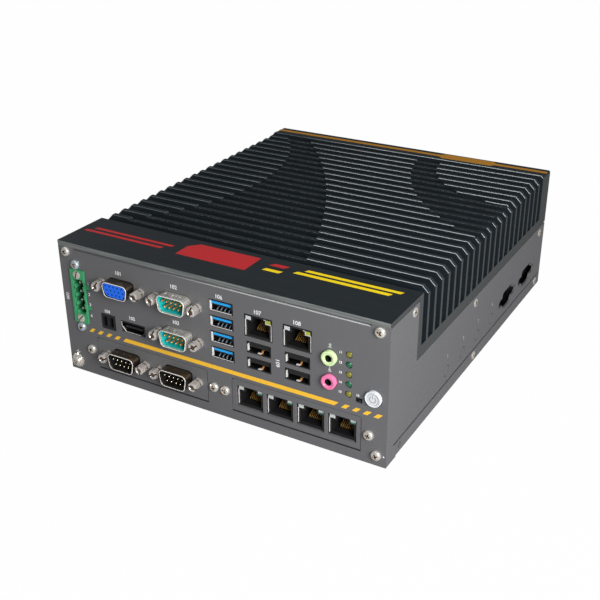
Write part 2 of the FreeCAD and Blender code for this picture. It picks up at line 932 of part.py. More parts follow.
def make_bottom_cover():
    """The tray that closes the underside, with flanges flush with the side walls."""
    body = new_body("tray")
    inner_left = left + s.cover_thickness
    inner_right = right - s.cover_thickness
    flange_top = cover_under + s.flange_height
    profile = [
        (left, cover_under),
        (right, cover_under),
        (right, flange_top),
        (inner_right, flange_top),
        (inner_right, cover_top),
        (inner_left, cover_top),
        (inner_left, flange_top),
        (left, flange_top),
    ]
    start = cover_front + s.sheet_clearance
    pad(body, outline(body, "XZ_Plane", start, [profile]), cover_back - s.sheet_clearance - start, True)
    tongue = rectangle(
        (inner_left + s.sheet_clearance, inner_right - s.sheet_clearance), (cover_under, cover_top)
    )
    toe_start = panel_back + s.wall_thickness + s.sheet_clearance
    pad(body, outline(body, "XZ_Plane", toe_start, [tongue]), start - toe_start, True)
    holes = []
    for back in (s.bracket_hole_front, s.bracket_hole_rear):
        holes.append((front + back, hem + s.cover_screw_level, s.bracket_hole_radius))
    pocket(body, outline(body, "YZ_Plane", left, [], holes), case_width, True)
    keep(less(body, side_holes(s.screw_hole, cover_screw_places())), "bottom_cover")


def make_feet():
    """Four round rubber feet under the cover."""
    feet = []
    for across in (left + s.foot_inset, right - s.foot_inset):
        for back in (front + s.foot_inset, rear - s.foot_inset):
            feet.append(rod("z", (across, back, 0), s.foot_radius, s.foot_height, RING_SIDES))
    keep(group(feet), "rubber_feet")


# Module bays


def module_plate(name, bay):
    """The plate of a module bay, with a raised field that fills its window flush with the panel."""
    body = new_body(name)
    low = hem + s.module_window_level + s.module_plate_rise
    high = hem + s.module_window_level + s.module_window_height + s.module_plate_cover
    face = rectangle(around(bay, plate_width), (low, high))
    pad(body, outline(body, "XZ_Plane", panel_back, [face]), s.plate_thickness, True)
    start, end = around(bay, module_window_width - s.module_field_gap * 2)
    floor = hem + s.module_window_level + s.module_field_slot
    ceiling = hem + s.module_window_level + s.module_window_height - s.module_field_gap
    corner = s.module_window_corner
    field = [
        (start, floor),
        (end, floor),
        (end, ceiling - corner),
        (end - corner, ceiling),
        (start + corner, ceiling),
        (start, ceiling - corner),
    ]
    pad(body, outline(body, "XZ_Plane", panel_back, [field]), s.panel_thickness)
    return body


def serial_ports():
    """Centres of the two ports of the serial module."""
    middle = serial_bay + s.serial_port_shift
    up = hem + s.serial_port_level
    return [(middle + s.serial_port_spacing / 2 * side, up) for side in (-1, 1)]


def module_jacks():
    """Centres of the network jacks in their module."""
    first = lan_bay - s.module_jack_spacing * (s.module_jack_count - 1) / 2
    up = hem + s.module_jack_level
    return [(first + s.module_jack_spacing * number, up) for number in range(int(s.module_jack_count.value))]


def make_module_plates():
    """Both module plates with their port cut-outs."""
    play = s.cut_clearance * 2
    serial = module_plate("serial_plate_sheet", serial_bay)
    size = (s.dee_width + play, s.dee_height + play, s.dee_slant, s.dee_corner)
    shapes = [dee(across, up, *size) for across, up in serial_ports()]
    pocket(serial, outline(serial, "XZ_Plane", front, shapes), plate_back - front)
    posts = [post for port in serial_ports() for post in post_places(*port)]
    keep(less(serial, sheet_holes(posts) + sheet_holes(module_screws(), thread_hole)), "serial_module_plate")
    lan = module_plate("lan_plate_sheet", lan_bay)
    windows = []
    for across, up in module_jacks():
        windows.append(rectangle(around(across, s.jack_width + play), around(up, s.jack_height + play)))
    pocket(lan, outline(lan, "XZ_Plane", front, windows), plate_back - front)
    keep(less(lan, sheet_holes(module_screws(), thread_hole)), "lan_module_plate")


def make_module_boards():
    """The circuit boards of the two modules."""
    for name, bay in (("serial_module_board", serial_bay), ("lan_module_board", lan_bay)):
        start = plate_back + s.sheet_clearance
        board = block(
            around(bay, plate_width - s.board_margin),
            (start, start + s.module_board_depth),
            (module_board_under, module_board_top),
        )
        keep(board, name)


# D-shaped ports


def dee_shell(name, across, up, face, front_cover, width, height):
    """A port shell: a flange behind the sheet and a D-shaped collar in front of it."""
    body = new_body(name + "_metal")
    flange = rectangle(around(across, s.dee_flange_width), around(up, s.dee_flange_height))
    pad(body, outline(body, "XZ_Plane", face, [flange]), s.dee_flange_thickness, True)
    collar = dee(across, up, width, height, s.dee_slant, s.dee_corner)
    reach = s.dee_reach + front_cover
    pad(body, outline(body, "XZ_Plane", face, [collar]), reach)
    wall = s.dee_wall
    mouth = dee(across, up, width - wall * 2, height - wall * 2, s.dee_slant, s.dee_corner - wall)
    pocket(body, outline(body, "XZ_Plane", face - reach, [mouth]), reach + s.dee_flange_thickness)
    size = s.jackscrew_shank + s.thread_play
    drills = []
    for place, level in post_places(across, up):
        drills.append(rod("y", (place, face, level), size, s.dee_flange_thickness, PIN_SIDES))
    keep(less(body, drills), name)


def dee_insert(name, across, up, face, floor, foot, standing_back, holes=False):
    """The moulded insulator of a port, down to the board that it stands on."""
    play = s.dee_wall * 2 + s.sheet_clearance
    if holes:
        width, height = s.vga_width - play, s.vga_height_across - play
    else:
        width, height = s.dee_width - play, s.dee_height - play
    body = new_body(name + "_block")
    back = face + s.dee_flange_thickness
    nose = dee(across, up, width, height, s.dee_slant, s.dee_corner - s.dee_wall)
    pad(body, outline(body, "XZ_Plane", back, [nose]), s.dee_flange_thickness + floor)
    frame = rectangle(around(across, s.dee_body_width), around(up, s.dee_flange_height - s.dee_body_trim))
    pad(body, outline(body, "XZ_Plane", back, [frame]), standing_back + s.dee_body_depth, True)
    stand = rectangle(around(across, s.dee_body_width), (foot, up))
    drawing = outline(body, "XZ_Plane", back + standing_back, [stand])
    pad(body, drawing, s.dee_body_depth, True)
    drills = []
    if holes:
        mouth = face - floor
        for row in range(int(s.vga_rows.value)):
            line = row - (s.vga_rows - 1) / 2
            for number in range(int(s.vga_row_holes.value)):
                step = number - (s.vga_row_holes - 1) / 2
                place = across + s.vga_hole_pitch * step - s.vga_row_shift * line
                start = (place, mouth, up + s.vga_row_pitch * line)
                drills.append(rod("y", start, s.vga_hole_radius, s.vga_hole_depth, PIN_SIDES))
    keep(less(body, drills) if drills else body, name)


def dee_pins(across, up, face, front_cover):
    """Round pins in two rows, the lower row one pin shorter, with their tips just inside the mouth."""
    pins = []
    tip = face - front_cover - s.dee_reach + s.dee_pin_setback
    long_row = int(s.dee_long_row.value)
    for line, count in ((1, long_row), (-1, long_row - 1)):
        for number in range(count):
            place = across + s.dee_pin_pitch * (number - (count - 1) / 2)
            start = (place, tip, up + s.dee_row_pitch / 2 * line)
            pins.append(rod("y", start, s.dee_pin_radius, face - s.dee_floor - tip, PIN_SIDES))
    return pins


def make_dee_ports():
    """The video port and the four serial ports, with their posts."""
    vga_across, vga_up, vga_width, vga_height = upper_dees()[0]
    dee_shell("vga_shell", vga_across, vga_up, panel_back, s.panel_thickness, vga_width, vga_height)
    mouth = s.dee_reach + s.panel_thickness - s.dee_wall
    behind = s.display_depth + s.display_back
    dee_insert("vga_insert", vga_across, vga_up, panel_back, mouth, board_top, behind, True)
    lower, upper = [(across, up) for across, up, width, height in upper_dees()[1:]]
    ports = [
        (*upper, panel_back, s.panel_thickness, board_top, s.dee_body_depth + s.sheet_clearance),
        (*lower, panel_back, s.panel_thickness, board_top, 0),
    ]
    for across, up in serial_ports():
        ports.append((across, up, plate_back, plate_back - front, module_board_top, 0))
    pins = []
    posts = [(vga_across, vga_up, front)]
    for number, (across, up, face, cover, foot, behind) in enumerate(ports, 1):
        name = f"com_{number}"
        dee_shell(name + "_shell", across, up, face, cover, s.dee_width, s.dee_height)
        dee_insert(name + "_insert", across, up, face, s.dee_floor, foot, behind)
        pins += dee_pins(across, up, face, cover)
        posts.append((across, up, face - cover))
    keep(group(pins), "serial_pins")
    jackscrews = []
    for across, up, sheet_face in posts:
        for middle, level in post_places(across, up):
            reach = s.jackscrew_reach
            tip = (middle, sheet_face - reach, level)
            head = rod("y", tip, s.jackscrew_radius, reach, PIN_SIDES)
            root = (middle, sheet_face, level)
            shank = rod("y", root, s.jackscrew_shank, s.jackscrew_shank_length, PIN_SIDES)
            bore = rod("y", tip, s.jackscrew_bore, s.jackscrew_bore_depth)
            jackscrews.append(less(joined([head, shank]), [bore]))
    keep(group(jackscrews), "jackscrews")


# Other ports


def make_power_terminal():
    """The green power terminal, its four pins and its two flange screws."""
    across = terminal_column
    middle = board_top + s.terminal_foot + s.terminal_length / 2
    body = new_body("terminal_block")
    face = front - s.terminal_proud
    shape = rectangle(around(across, s.terminal_width), around(middle, s.terminal_length))
    pad(body, outline(body, "XZ_Plane", face, [shape]), s.terminal_depth, True)
    ways = s.terminal_pitch * s.terminal_ways
    well = rectangle(around(across, s.terminal_width - s.terminal_wall * 2), around(middle, ways))
    pocket(body, outline(body, "XZ_Plane", face, [well]), s.terminal_well_depth)
    notches = []
    levels = []
    for number in range(int(s.terminal_ways.value)):
        up = middle + s.terminal_pitch * (number - (s.terminal_ways - 1) / 2)
        levels.append(up)
        edge = across + s.terminal_width / 2 - s.terminal_wall
        notches.append(rectangle(around(edge, s.terminal_wall), around(up, s.latch_size)))
    pocket(body, outline(body, "XZ_Plane", face, notches), s.terminal_well_depth)
    latches = []
    for side in (-1, 1):
        start = across + s.terminal_width / 2
        up = middle + s.latch_spacing / 2 * side
        latches.append(rectangle((start, start + s.latch_size), around(up, s.latch_size)))
    drawing = outline(body, "XZ_Plane", front + s.sheet_clearance, latches)
    pad(body, drawing, s.terminal_depth / 2, True)
    screw_rows = [middle + s.terminal_screw_spacing / 2 * side for side in (-1, 1)]
    depth = s.terminal_well_depth
    bores = [rod("y", (across, face, up), thread_hole, depth, PIN_SIDES) for up in screw_rows]
    slots = [rectangle(around(across, s.terminal_pin), around(up, s.terminal_pin)) for up in levels]
    pocket(body, outline(body, "XZ_Plane", face + s.terminal_well_depth, slots), s.terminal_depth)
    keep(less(body, bores), "power_terminal")
    pins = []
    for up in levels:
        start = face + s.terminal_pin_setback
        span = (start, start + s.terminal_pin_length)
        pins.append(block(around(across, s.terminal_pin), span, around(up, s.terminal_pin)))
    keep(group(pins), "power_terminal_pins")
    screws = []
    for up in screw_rows:
        head_face = face - s.washer_thickness
        start = (across, head_face, up)
        head = rod("y", start, s.terminal_screw_radius, s.washer_thickness, HEAD_SIDES)
        shank = rod("y", (across, face, up), s.screw_shank_radius, depth, PIN_SIDES)
        slot = block(
            around(across, s.terminal_screw_radius * 2),
            (head_face, head_face + s.terminal_slot_depth),
            around(up, s.terminal_slot_width),
        )
        screws.append(less(joined([head, shank]), [slot]))
    keep(group(screws), "power_terminal_screws")


def make_header():
    """The black two-way socket for a remote switch."""
    across = vga_column + s.header_from_vga
    up = hem + s.header_level
    body = new_body("remote_switch_header")
    shape = rectangle(around(across, s.header_width), (board_top, up + s.header_height / 2))
    pad(body, outline(body, "XZ_Plane", panel_back + s.sheet_clearance, [shape]), s.header_depth, True)
    mouth = rectangle(around(across, s.header_width), around(up, s.header_height))
    pad(body, outline(body, "XZ_Plane", front, [mouth]), s.header_depth, True)
    slots = []
    for side in (-1, 1):
        middle = across + s.header_slot_spacing / 2 * side
        slots.append(rectangle(around(middle, s.header_slot_width), around(up, s.header_slot_height)))
    pocket(body, outline(body, "XZ_Plane", front, slots), s.header_slot_depth)
    keep(body, "remote_switch_header")


def make_display_port():
    """The digital display port: a thin metal tube round a black tongue."""
    across = vga_column + s.display_from_vga
    up = hem + s.display_level

    def ring(inset):
        half, rise = s.display_width / 2 - inset, s.display_height / 2 - inset
        return [
            (across - half + s.display_slant, up - rise),
            (across + half - s.display_slant, up - rise),
            (across + half, up - rise + s.display_slant),
            (across + half, up + rise),
            (across - half, up + rise),
            (across - half, up - rise + s.display_slant),
        ]

    shell = new_body("display_shell")
    pad(shell, outline(shell, "XZ_Plane", front, [ring(0)]), s.display_depth, True)
    pocket(shell, outline(shell, "XZ_Plane", front, [ring(s.display_wall)]), s.display_depth)
    keep(shell, "display_shell")
    tongue_rows = around(up, s.display_tongue_thickness)
    tongue_start = front + s.display_wall * 2
    back = front + s.display_depth
    tongue = block(around(across, s.display_tongue_width), (tongue_start, back), tongue_rows)
    stand = block(
        around(across, s.display_width),
        (back, back + s.display_back - s.sheet_clearance),
        (board_top, up + s.display_height / 2),
    )
    keep(joined([tongue, stand]), "display_tongue")


def usb_mouths(across, levels):
    """Rims and hollows of a stack of USB ports."""
    rims, wells = [], []
    for up in levels:
        rims.append(
            block(around(across, s.usb_width), (front, panel_back + s.usb_wall), around(up, s.usb_height))
        )
        inset = s.usb_wall * 2
        wells.append(
            block(
                around(across, s.usb_width - inset),
                (front, front + s.usb_well_depth),
                around(up, s.usb_height - inset),
            )
        )
    return rims, wells


def usb_tongues(across, levels):
    """The tongues in a stack of USB ports."""
    start, end = front + s.usb_wall * 2, front + s.usb_well_depth
    tongues = []
    for up in levels:
        middle = up + s.usb_tongue_rise
        rows = around(middle, s.usb_tongue_thickness)
        tongues.append(block(around(across, s.usb_tongue_width), (start, end), rows))
    return tongues


def make_usb_stack():
    """The stack of four USB 3 ports."""
    across = usb_column
    levels = [hem + s.usb_level + s.usb_pitch * level for level in range(int(s.usb_ports.value))]
    rims, wells = usb_mouths(across, levels)
    housing = block(
        around(across, s.usb_width + s.usb_wall * 2),
        (panel_back + s.sheet_clearance, front + s.usb_depth),
        (board_top, levels[-1] + s.usb_height / 2 + s.usb_wall),
    )
    keep(less(joined([housing] + rims), wells), "usb3_housing")
    keep(group(usb_tongues(across, levels)), "usb3_tongues")


def jack_parts(across, up, face):
    """A network jack: rim, lining with its stepped mouth, contacts and corner lights."""
    wall = s.jack_wall
    rim = block(around(across, s.jack_width), (face, face + s.jack_well_depth), around(up, s.jack_height))
    inner_across = around(across, s.jack_width - wall * 2)
    inner_up = around(up, s.jack_height - wall * 2)
    hollow = block(inner_across, (face, face + s.jack_well_depth), inner_up)
    floor = up - s.jack_height / 2 + s.jack_sill
    ceiling = up + s.jack_height / 2 - wall
    throat = face + s.jack_well_depth - s.jack_sill
    mouth = block(around(across, s.jack_mouth_width), (face, throat), (floor, floor + s.jack_mouth_height))
    step = block(around(across, s.jack_step_width), (face, throat), (floor, ceiling))
    lights, seats = [], []
    for side in (-1, 1):
        outer = across + (s.jack_width / 2 - wall) * side
        span = sorted((outer, outer - s.jack_light_width * side), key=lambda place: place.value)
        rows = (ceiling - s.jack_light_height, ceiling)
        lights.append(block(span, (face, throat), rows))
        seats.append(block(span, (face, throat), rows))
    lining = block(inner_across, (face + s.sheet_clearance, face + s.jack_well_depth), inner_up)
    insert = less(lining, [mouth, step] + seats)
    contacts = []
    for number in range(int(s.jack_contacts.value)):
        place = across + s.jack_contact_pitch * (number - (s.jack_contacts - 1) / 2)
        wire = doc.addObject("Part::Box", "contact")
        tilt = FreeCAD.Rotation(FreeCAD.Vector(1, 0, 0), s.jack_contact_tilt.value)
        wire.Placement = FreeCAD.Placement(FreeCAD.Vector(), tilt)
        bind(wire, "Placement.Base.x", place - s.jack_contact_size / 2)
        bind(wire, "Placement.Base.y", face + s.jack_contact_setback)
        bind(wire, "Placement.Base.z", floor + s.jack_contact_size)
        bind(wire, "Length", s.jack_contact_size)
        bind(wire, "Width", s.jack_contact_length)
        bind(wire, "Height", s.jack_contact_size)
        contacts.append(wire)
    return rim, hollow, insert, contacts, lights


def make_network_ports():
    """Two stacks of a network jack over two USB ports, and the four jacks of the module."""
    inserts, contacts, lights = [], [], []
    levels = [hem + s.lower_usb_level + s.lower_usb_pitch * level for level in (0, 1)]
    for number in (0, 1):
        across = lan_column + s.lan_spacing * number
        rim, hollow, insert, wires, lenses = jack_parts(across, hem + s.lan_level, front)
        rims, wells = usb_mouths(across, levels)
        housing = block(
            around(across, s.jack_width + s.usb_wall * 2),
            (panel_back + s.sheet_clearance, front + s.jack_depth),
            (board_top, hem + s.lan_level + s.jack_height / 2 + s.usb_wall),
        )
        keep(less(joined([housing, rim] + rims), [hollow] + wells), f"lan_usb_{number + 1}_housing")
        inserts += [insert] + usb_tongues(across, levels)
        contacts += wires
        lights += lenses
    for number, (across, up) in enumerate(module_jacks(), 1):
        rim, hollow, insert, wires, lenses = jack_parts(across, up, panel_back)
        back = panel_back + s.jack_well_depth
        tail = block(
            around(across, s.jack_width),
            (back, back + s.jack_sill),
            (module_board_top, up + s.jack_height / 2),
        )
        foot = block(
            around(across, s.jack_width),
            (plate_back + s.sheet_clearance, back),
            (module_board_top, up - s.jack_height / 2),
        )
        keep(less(joined([rim, tail, foot]), [hollow]), f"lan_jack_{number}")
        inserts.append(insert)
        contacts += wires
        lights += lenses
    keep(group(inserts), "jack_inserts")
    keep(group(contacts), "jack_contacts")
    keep(group(lights), "jack_lights")


def make_audio():
    """The two stacked audio jacks with their coloured rings."""
    across = audio_column
    levels = [hem + s.audio_level + s.audio_pitch * level for level in (0, 1)]
    start = panel_back + s.sheet_clearance
    housing = block(
        around(across, s.audio_body_width),
        (start, start + s.audio_body_depth),
        (board_top, levels[1] + s.audio_body_width / 2),
    )
    bores = []
    for up, name in zip(levels, ("microphone_ring", "line_out_ring")):
        face = front - s.audio_reach
        length = start - face
        ring = rod("y", (across, face, up), s.audio_ring_radius, length, RING_SIDES)
        keep(less(ring, [rod("y", (across, face, up), s.audio_bore, length)]), name)
        bores.append(rod("y", (across, start, up), s.audio_bore, s.audio_bore_depth))
    keep(less(housing, bores), "audio_jack_block")


def make_lamps():
    """The column of status lamps and the black holder behind them."""
    across = lamp_column
    start = front + s.lamp_setback
    back = start + s.lamp_length
    lamps = []
    for number in range(int(s.lamp_count.value)):
        up = hem + s.lamp_level + s.lamp_pitch * number
        lamps.append(rod("y", (across, start, up), s.lamp_radius, s.lamp_length, HEAD_SIDES))
    keep(group(lamps), "status_lamps")
    high = hem + s.lamp_level + s.lamp_pitch * (s.lamp_count - 1) + s.lamp_holder_width / 2
    holder = block(
        around(across, s.lamp_holder_width), (back, back + s.lamp_holder_depth), (board_top, high)
    )
    keep(holder, "lamp_holder")


def make_selector():
    """The small slide selector beside the lamps."""
    across = selector_column
    up = hem + s.selector_level
    start = panel_back + s.sheet_clearance
    case = block(
        around(across, s.selector_width),
        (start, start + s.selector_depth),
        (board_top, up + s.selector_height / 2),
    )
    lever = block(
        (across, across + s.selector_lever), (front + s.sheet_clearance, start), around(up, s.selector_lever)
    )
    keep(joined([case, lever]), "selector_switch")


def make_power_button():
    """The round button, held behind the panel by its flange, and the switch that guides its stem."""
    across = button_column
    up = hem + s.button_level
    face = front - s.button_reach
    flange_start = panel_back + s.button_play
    cap = rod("y", (across, face, up), s.button_radius, flange_start - face)
    rim = s.button_flange_radius
    flange = rod("y", (across, flange_start, up), rim, s.button_flange, RING_SIDES)
    flange_end = flange_start + s.button_flange
    stem_length = s.button_stem_length
    stem = rod("y", (across, flange_end, up), s.button_stem_radius, stem_length, PIN_SIDES)
    keep(joined([cap, flange, stem]), "power_button")
    start = flange_end + s.button_travel + s.button_play
    housing = block(
        around(across, s.switch_width),
        (start, start + s.switch_depth),
        (board_top, board_top + s.switch_height),
    )
    bore_radius = s.button_stem_radius + s.button_play
    bore = rod("y", (across, start, up), bore_radius, stem_length - s.button_play, PIN_SIDES)
    keep(less(housing, [bore]), "power_switch")


# Boards and what they carry


def make_mainboard():
    """The main circuit board, hung under the lid on hexagonal standoffs."""
    body = new_body("board_sheet")
    margin = s.wall_thickness + s.board_margin
    start = front + s.screw_shank_length + s.sheet_clearance
    shape = rectangle((left + margin, right - margin), (start, start + s.board_depth))
    pad(body, outline(body, "XY_Plane", board_under, [shape]), s.board_thickness)
    drills = []
    for across, back in standoff_places():
        place = (across, back, board_under)
        drills.append(rod("z", place, s.standoff_hole, s.board_thickness, PIN_SIDES))
    keep(less(body, drills), "mainboard")


def standoff_places():
    """Where the mainboard hangs from the lid."""
    places = []
    for across in (left + s.standoff_inset, right - s.standoff_inset):
        for back in (front + s.standoff_front, front + s.standoff_rear):
            places.append((across, back))
    return places


def make_standoffs():
    """Hexagonal standoffs under the lid, and shorter ones under the module boards."""
    posts = []
    for across, back in standoff_places():
        foot = (across, back, board_top)
        post = rod("z", foot, s.standoff_radius, s.standoff_length, PIN_SIDES)
        bore = rod("z", foot, thread_hole, s.screw_shank_length, PIN_SIDES)
        posts.append(less(post, [bore]))
    for bay in (serial_bay, lan_bay):
        for side in (-1, 1):
            foot = (bay + s.spacer_half_span * side, front + s.spacer_back, cover_top)
            posts.append(rod("z", foot, s.spacer_radius, module_board_under - cover_top, PIN_SIDES))
    keep(group(posts), "standoffs")


def make_processor():
    """The processor, its thermal pad and the block that carries its heat into the lid."""
    back = front + s.processor_back
    top = board_top + s.processor_height
    pad_top = top + s.pad_thickness
    for name, width, rows in (
        ("processor", s.processor_width, (board_top, top)),
        ("thermal_pad", s.pad_width, (top, pad_top)),
        ("heat_block", s.heat_block_width, (pad_top, base_under)),
    ):
        keep(block(around(0, width), around(back, width), rows), name)


def make_memory():
    """The memory module in its socket, under the mainboard."""
    back = front + s.memory_back
    low = board_under - s.memory_socket_height
    middle = low + s.memory_slot
    socket = block(around(0, s.memory_width), (back, back + s.memory_socket_depth), (low, board_under))
    module_span = around(0, s.memory_module_width)
    start = back + s.memory_socket_depth / 2
    rows = (middle, middle + s.memory_module_thickness)
    slot = block(module_span, (start, back + s.memory_socket_depth), rows)
    keep(less(socket, [slot]), "memory_socket")
    keep(block(module_span, (start, start + s.memory_module_depth), rows), "memory_module")


def make_drive():
    """The storage drive in its tray on the bottom cover."""
    middle = left + s.drive_across
    start = front + s.drive_back
    length = (start, start + s.drive_length)
    width = around(middle, s.drive_width)
    floor = cover_top + s.drive_tray_thickness
    rim = floor + s.drive_tray_lip
    tray = block(around(middle, s.drive_width + s.drive_tray_thickness * 2), length, (cover_top, rim))
    keep(less(tray, [block(width, length, (floor, rim))]), "drive_bracket")
    keep(block(width, length, (floor, floor + s.drive_height)), "storage_drive")


def make_coin_cell():
    """The clock's coin cell in its round holder on the mainboard."""
    place = (s.cell_across, front + s.cell_back, board_top)
    rim = s.cell_radius + s.holder_wall
    outer = rod("z", place, rim, s.cell_height + s.holder_floor, RING_SIDES)
    seat = (place[0], place[1], board_top + s.holder_floor)
    keep(less(outer, [rod("z", seat, s.cell_radius, s.cell_height, RING_SIDES)]), "battery_holder")
    keep(rod("z", seat, s.cell_radius, s.cell_height, RING_SIDES), "coin_cell")


# Fasteners


def screw(direction, start, head_radius, head_height, toward):
    """A screw on a face: its head stands out against the given way, its shank goes in."""
    letter = "xyz".index(direction)
    head_start = list(start)
    shank_start = list(start)
    if toward > 0:
        head_start[letter] = start[letter] - head_height
    else:
        shank_start[letter] = start[letter] - s.screw_shank_length
    head = rod(direction, head_start, head_radius, head_height, HEAD_SIDES)
    shank = rod(direction, shank_start, s.screw_shank_radius, s.screw_shank_length, PIN_SIDES)
    return joined([head, shank])


def make_screws():
    """All the screws of the case, and the washers of the earth screw."""
    pans = []
    for across, up in corner_screws()[:-1] + bracket_screws() + module_screws():
        pans.append(screw("y", (across, front, up), s.screw_head_radius, s.screw_head_height, 1))
    across, up = corner_screws()[-1]
    washer_face = front - s.washer_thickness * 2
    pans.append(screw("y", (across, washer_face, up), s.screw_head_radius, s.screw_head_height, 1))
    for across, back in standoff_places():
        pans.append(screw("z", (across, back, board_under), s.screw_head_radius, s.screw_head_height, 1))
    keep(group(pans), "pan_screws")
    washers = []
    across, up = corner_screws()[-1]
    for number in (1, 2):
        start = (across, front - s.washer_thickness * number, up)
        radius = s.washer_radius - s.washer_thickness * (number - 1)
        disc = rod("y", start, radius, s.washer_thickness, RING_SIDES)
        hole = rod("y", start, s.screw_hole, s.washer_thickness, PIN_SIDES)
        washers.append(less(disc, [hole]))
    keep(group(washers), "earth_washers")
    flat = []
    for back, up in side_screw_places() + cover_screw_places():
        flat.append(screw("x", (left, back, up), s.case_screw_radius, s.case_screw_height, 1))
        flat.append(screw("x", (right, back, up), s.case_screw_radius, s.case_screw_height, -1))
    keep(group(flat), "case_screws")


def check_document():
    """Stop if any object failed, or if any piece is not a set of valid solids."""
    doc.recompute()
    for thing in doc.Objects:
        if "Invalid" in thing.State or "Error" in thing.State:
            raise RuntimeError(f"{thing.Label} ({thing.Name}) failed: {thing.State}")
    for piece in PARTS:
        shape = piece.Shape
        if shape.isNull() or not shape.isValid() or not shape.Solids:
            raise RuntimeError(f"{piece.Label} is not a valid solid")


def write_pieces():
    """Write each piece to its own file and say how many solids it has."""
    os.makedirs("parts", exist_ok=True)
    for piece in PARTS:
        piece.Shape.exportStep(f"parts/{piece.Label}.step")
        print(f"{piece.Label:24} solids {len(piece.Shape.Solids)}")
    print(len(PARTS), "pieces")


make_heatsink()
make_front_panel()
make_chassis()
make_bottom_cover()
make_feet()
make_module_plates()
make_module_boards()
make_dee_ports()
make_power_terminal()
make_header()
make_display_port()
make_usb_stack()
make_network_ports()
make_audio()
make_lamps()
make_selector()
make_power_button()
make_mainboard()
make_standoffs()
make_processor()
make_memory()
make_drive()
make_coin_cell()
make_screws()
check_document()
write_pieces()
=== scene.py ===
import math

import bmesh
import bpy
from mathutils import Matrix, Vector


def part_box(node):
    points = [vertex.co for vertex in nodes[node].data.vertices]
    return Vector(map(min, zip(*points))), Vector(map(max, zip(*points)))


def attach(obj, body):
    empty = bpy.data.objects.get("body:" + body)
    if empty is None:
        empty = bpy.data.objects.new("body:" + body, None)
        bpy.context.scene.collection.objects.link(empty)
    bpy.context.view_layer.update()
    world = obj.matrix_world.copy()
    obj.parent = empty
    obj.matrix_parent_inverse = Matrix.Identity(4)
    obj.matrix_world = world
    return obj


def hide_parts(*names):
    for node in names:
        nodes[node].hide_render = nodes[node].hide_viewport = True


# The looks of a fanless industrial computer. +Z is up, the port panel faces -Y, +X is to its right.
# Shapes are drawn in millimetres in the frame of one face of the case, and MM turns them into metres.

MM = 0.001
FIN_RISE = 0.7  # how far the fins stand above the lip of the lid
INK = 0.04  # how far a print reaches above its face, and below it

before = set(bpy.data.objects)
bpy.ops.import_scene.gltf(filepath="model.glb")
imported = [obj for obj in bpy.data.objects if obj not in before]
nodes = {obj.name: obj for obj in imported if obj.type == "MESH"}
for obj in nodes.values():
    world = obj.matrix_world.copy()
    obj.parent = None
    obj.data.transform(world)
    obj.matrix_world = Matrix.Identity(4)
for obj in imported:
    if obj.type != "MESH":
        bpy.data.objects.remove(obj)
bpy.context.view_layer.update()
panel_low, panel_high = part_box("front_panel")
left, front, hem = (place / MM for place in panel_low)
right = panel_high.x / MM
lid_top, lid_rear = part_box("heatsink")[1].z / MM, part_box("heatsink")[1].y / MM
lip_top = lid_top - FIN_RISE


def face_frame(origin, across, up, out):
    """The matrix of a face: where its origin is, and which way across, up and out of it run."""
    turn = Matrix((across, up, out)).transposed().to_4x4()
    return Matrix.Translation(Vector(origin)) @ turn


FRONT = face_frame((left, front, hem), (1, 0, 0), (0, 0, 1), (0, -1, 0))
RIGHT = face_frame((right, front, hem), (0, 1, 0), (0, 0, 1), (1, 0, 0))
LEFT = face_frame((left, front, hem), (0, -1, 0), (0, 0, 1), (-1, 0, 0))
TOP = face_frame((left, front, lip_top), (1, 0, 0), (0, 1, 0), (0, 0, 1))
ORIGIN = Matrix()


# Materials


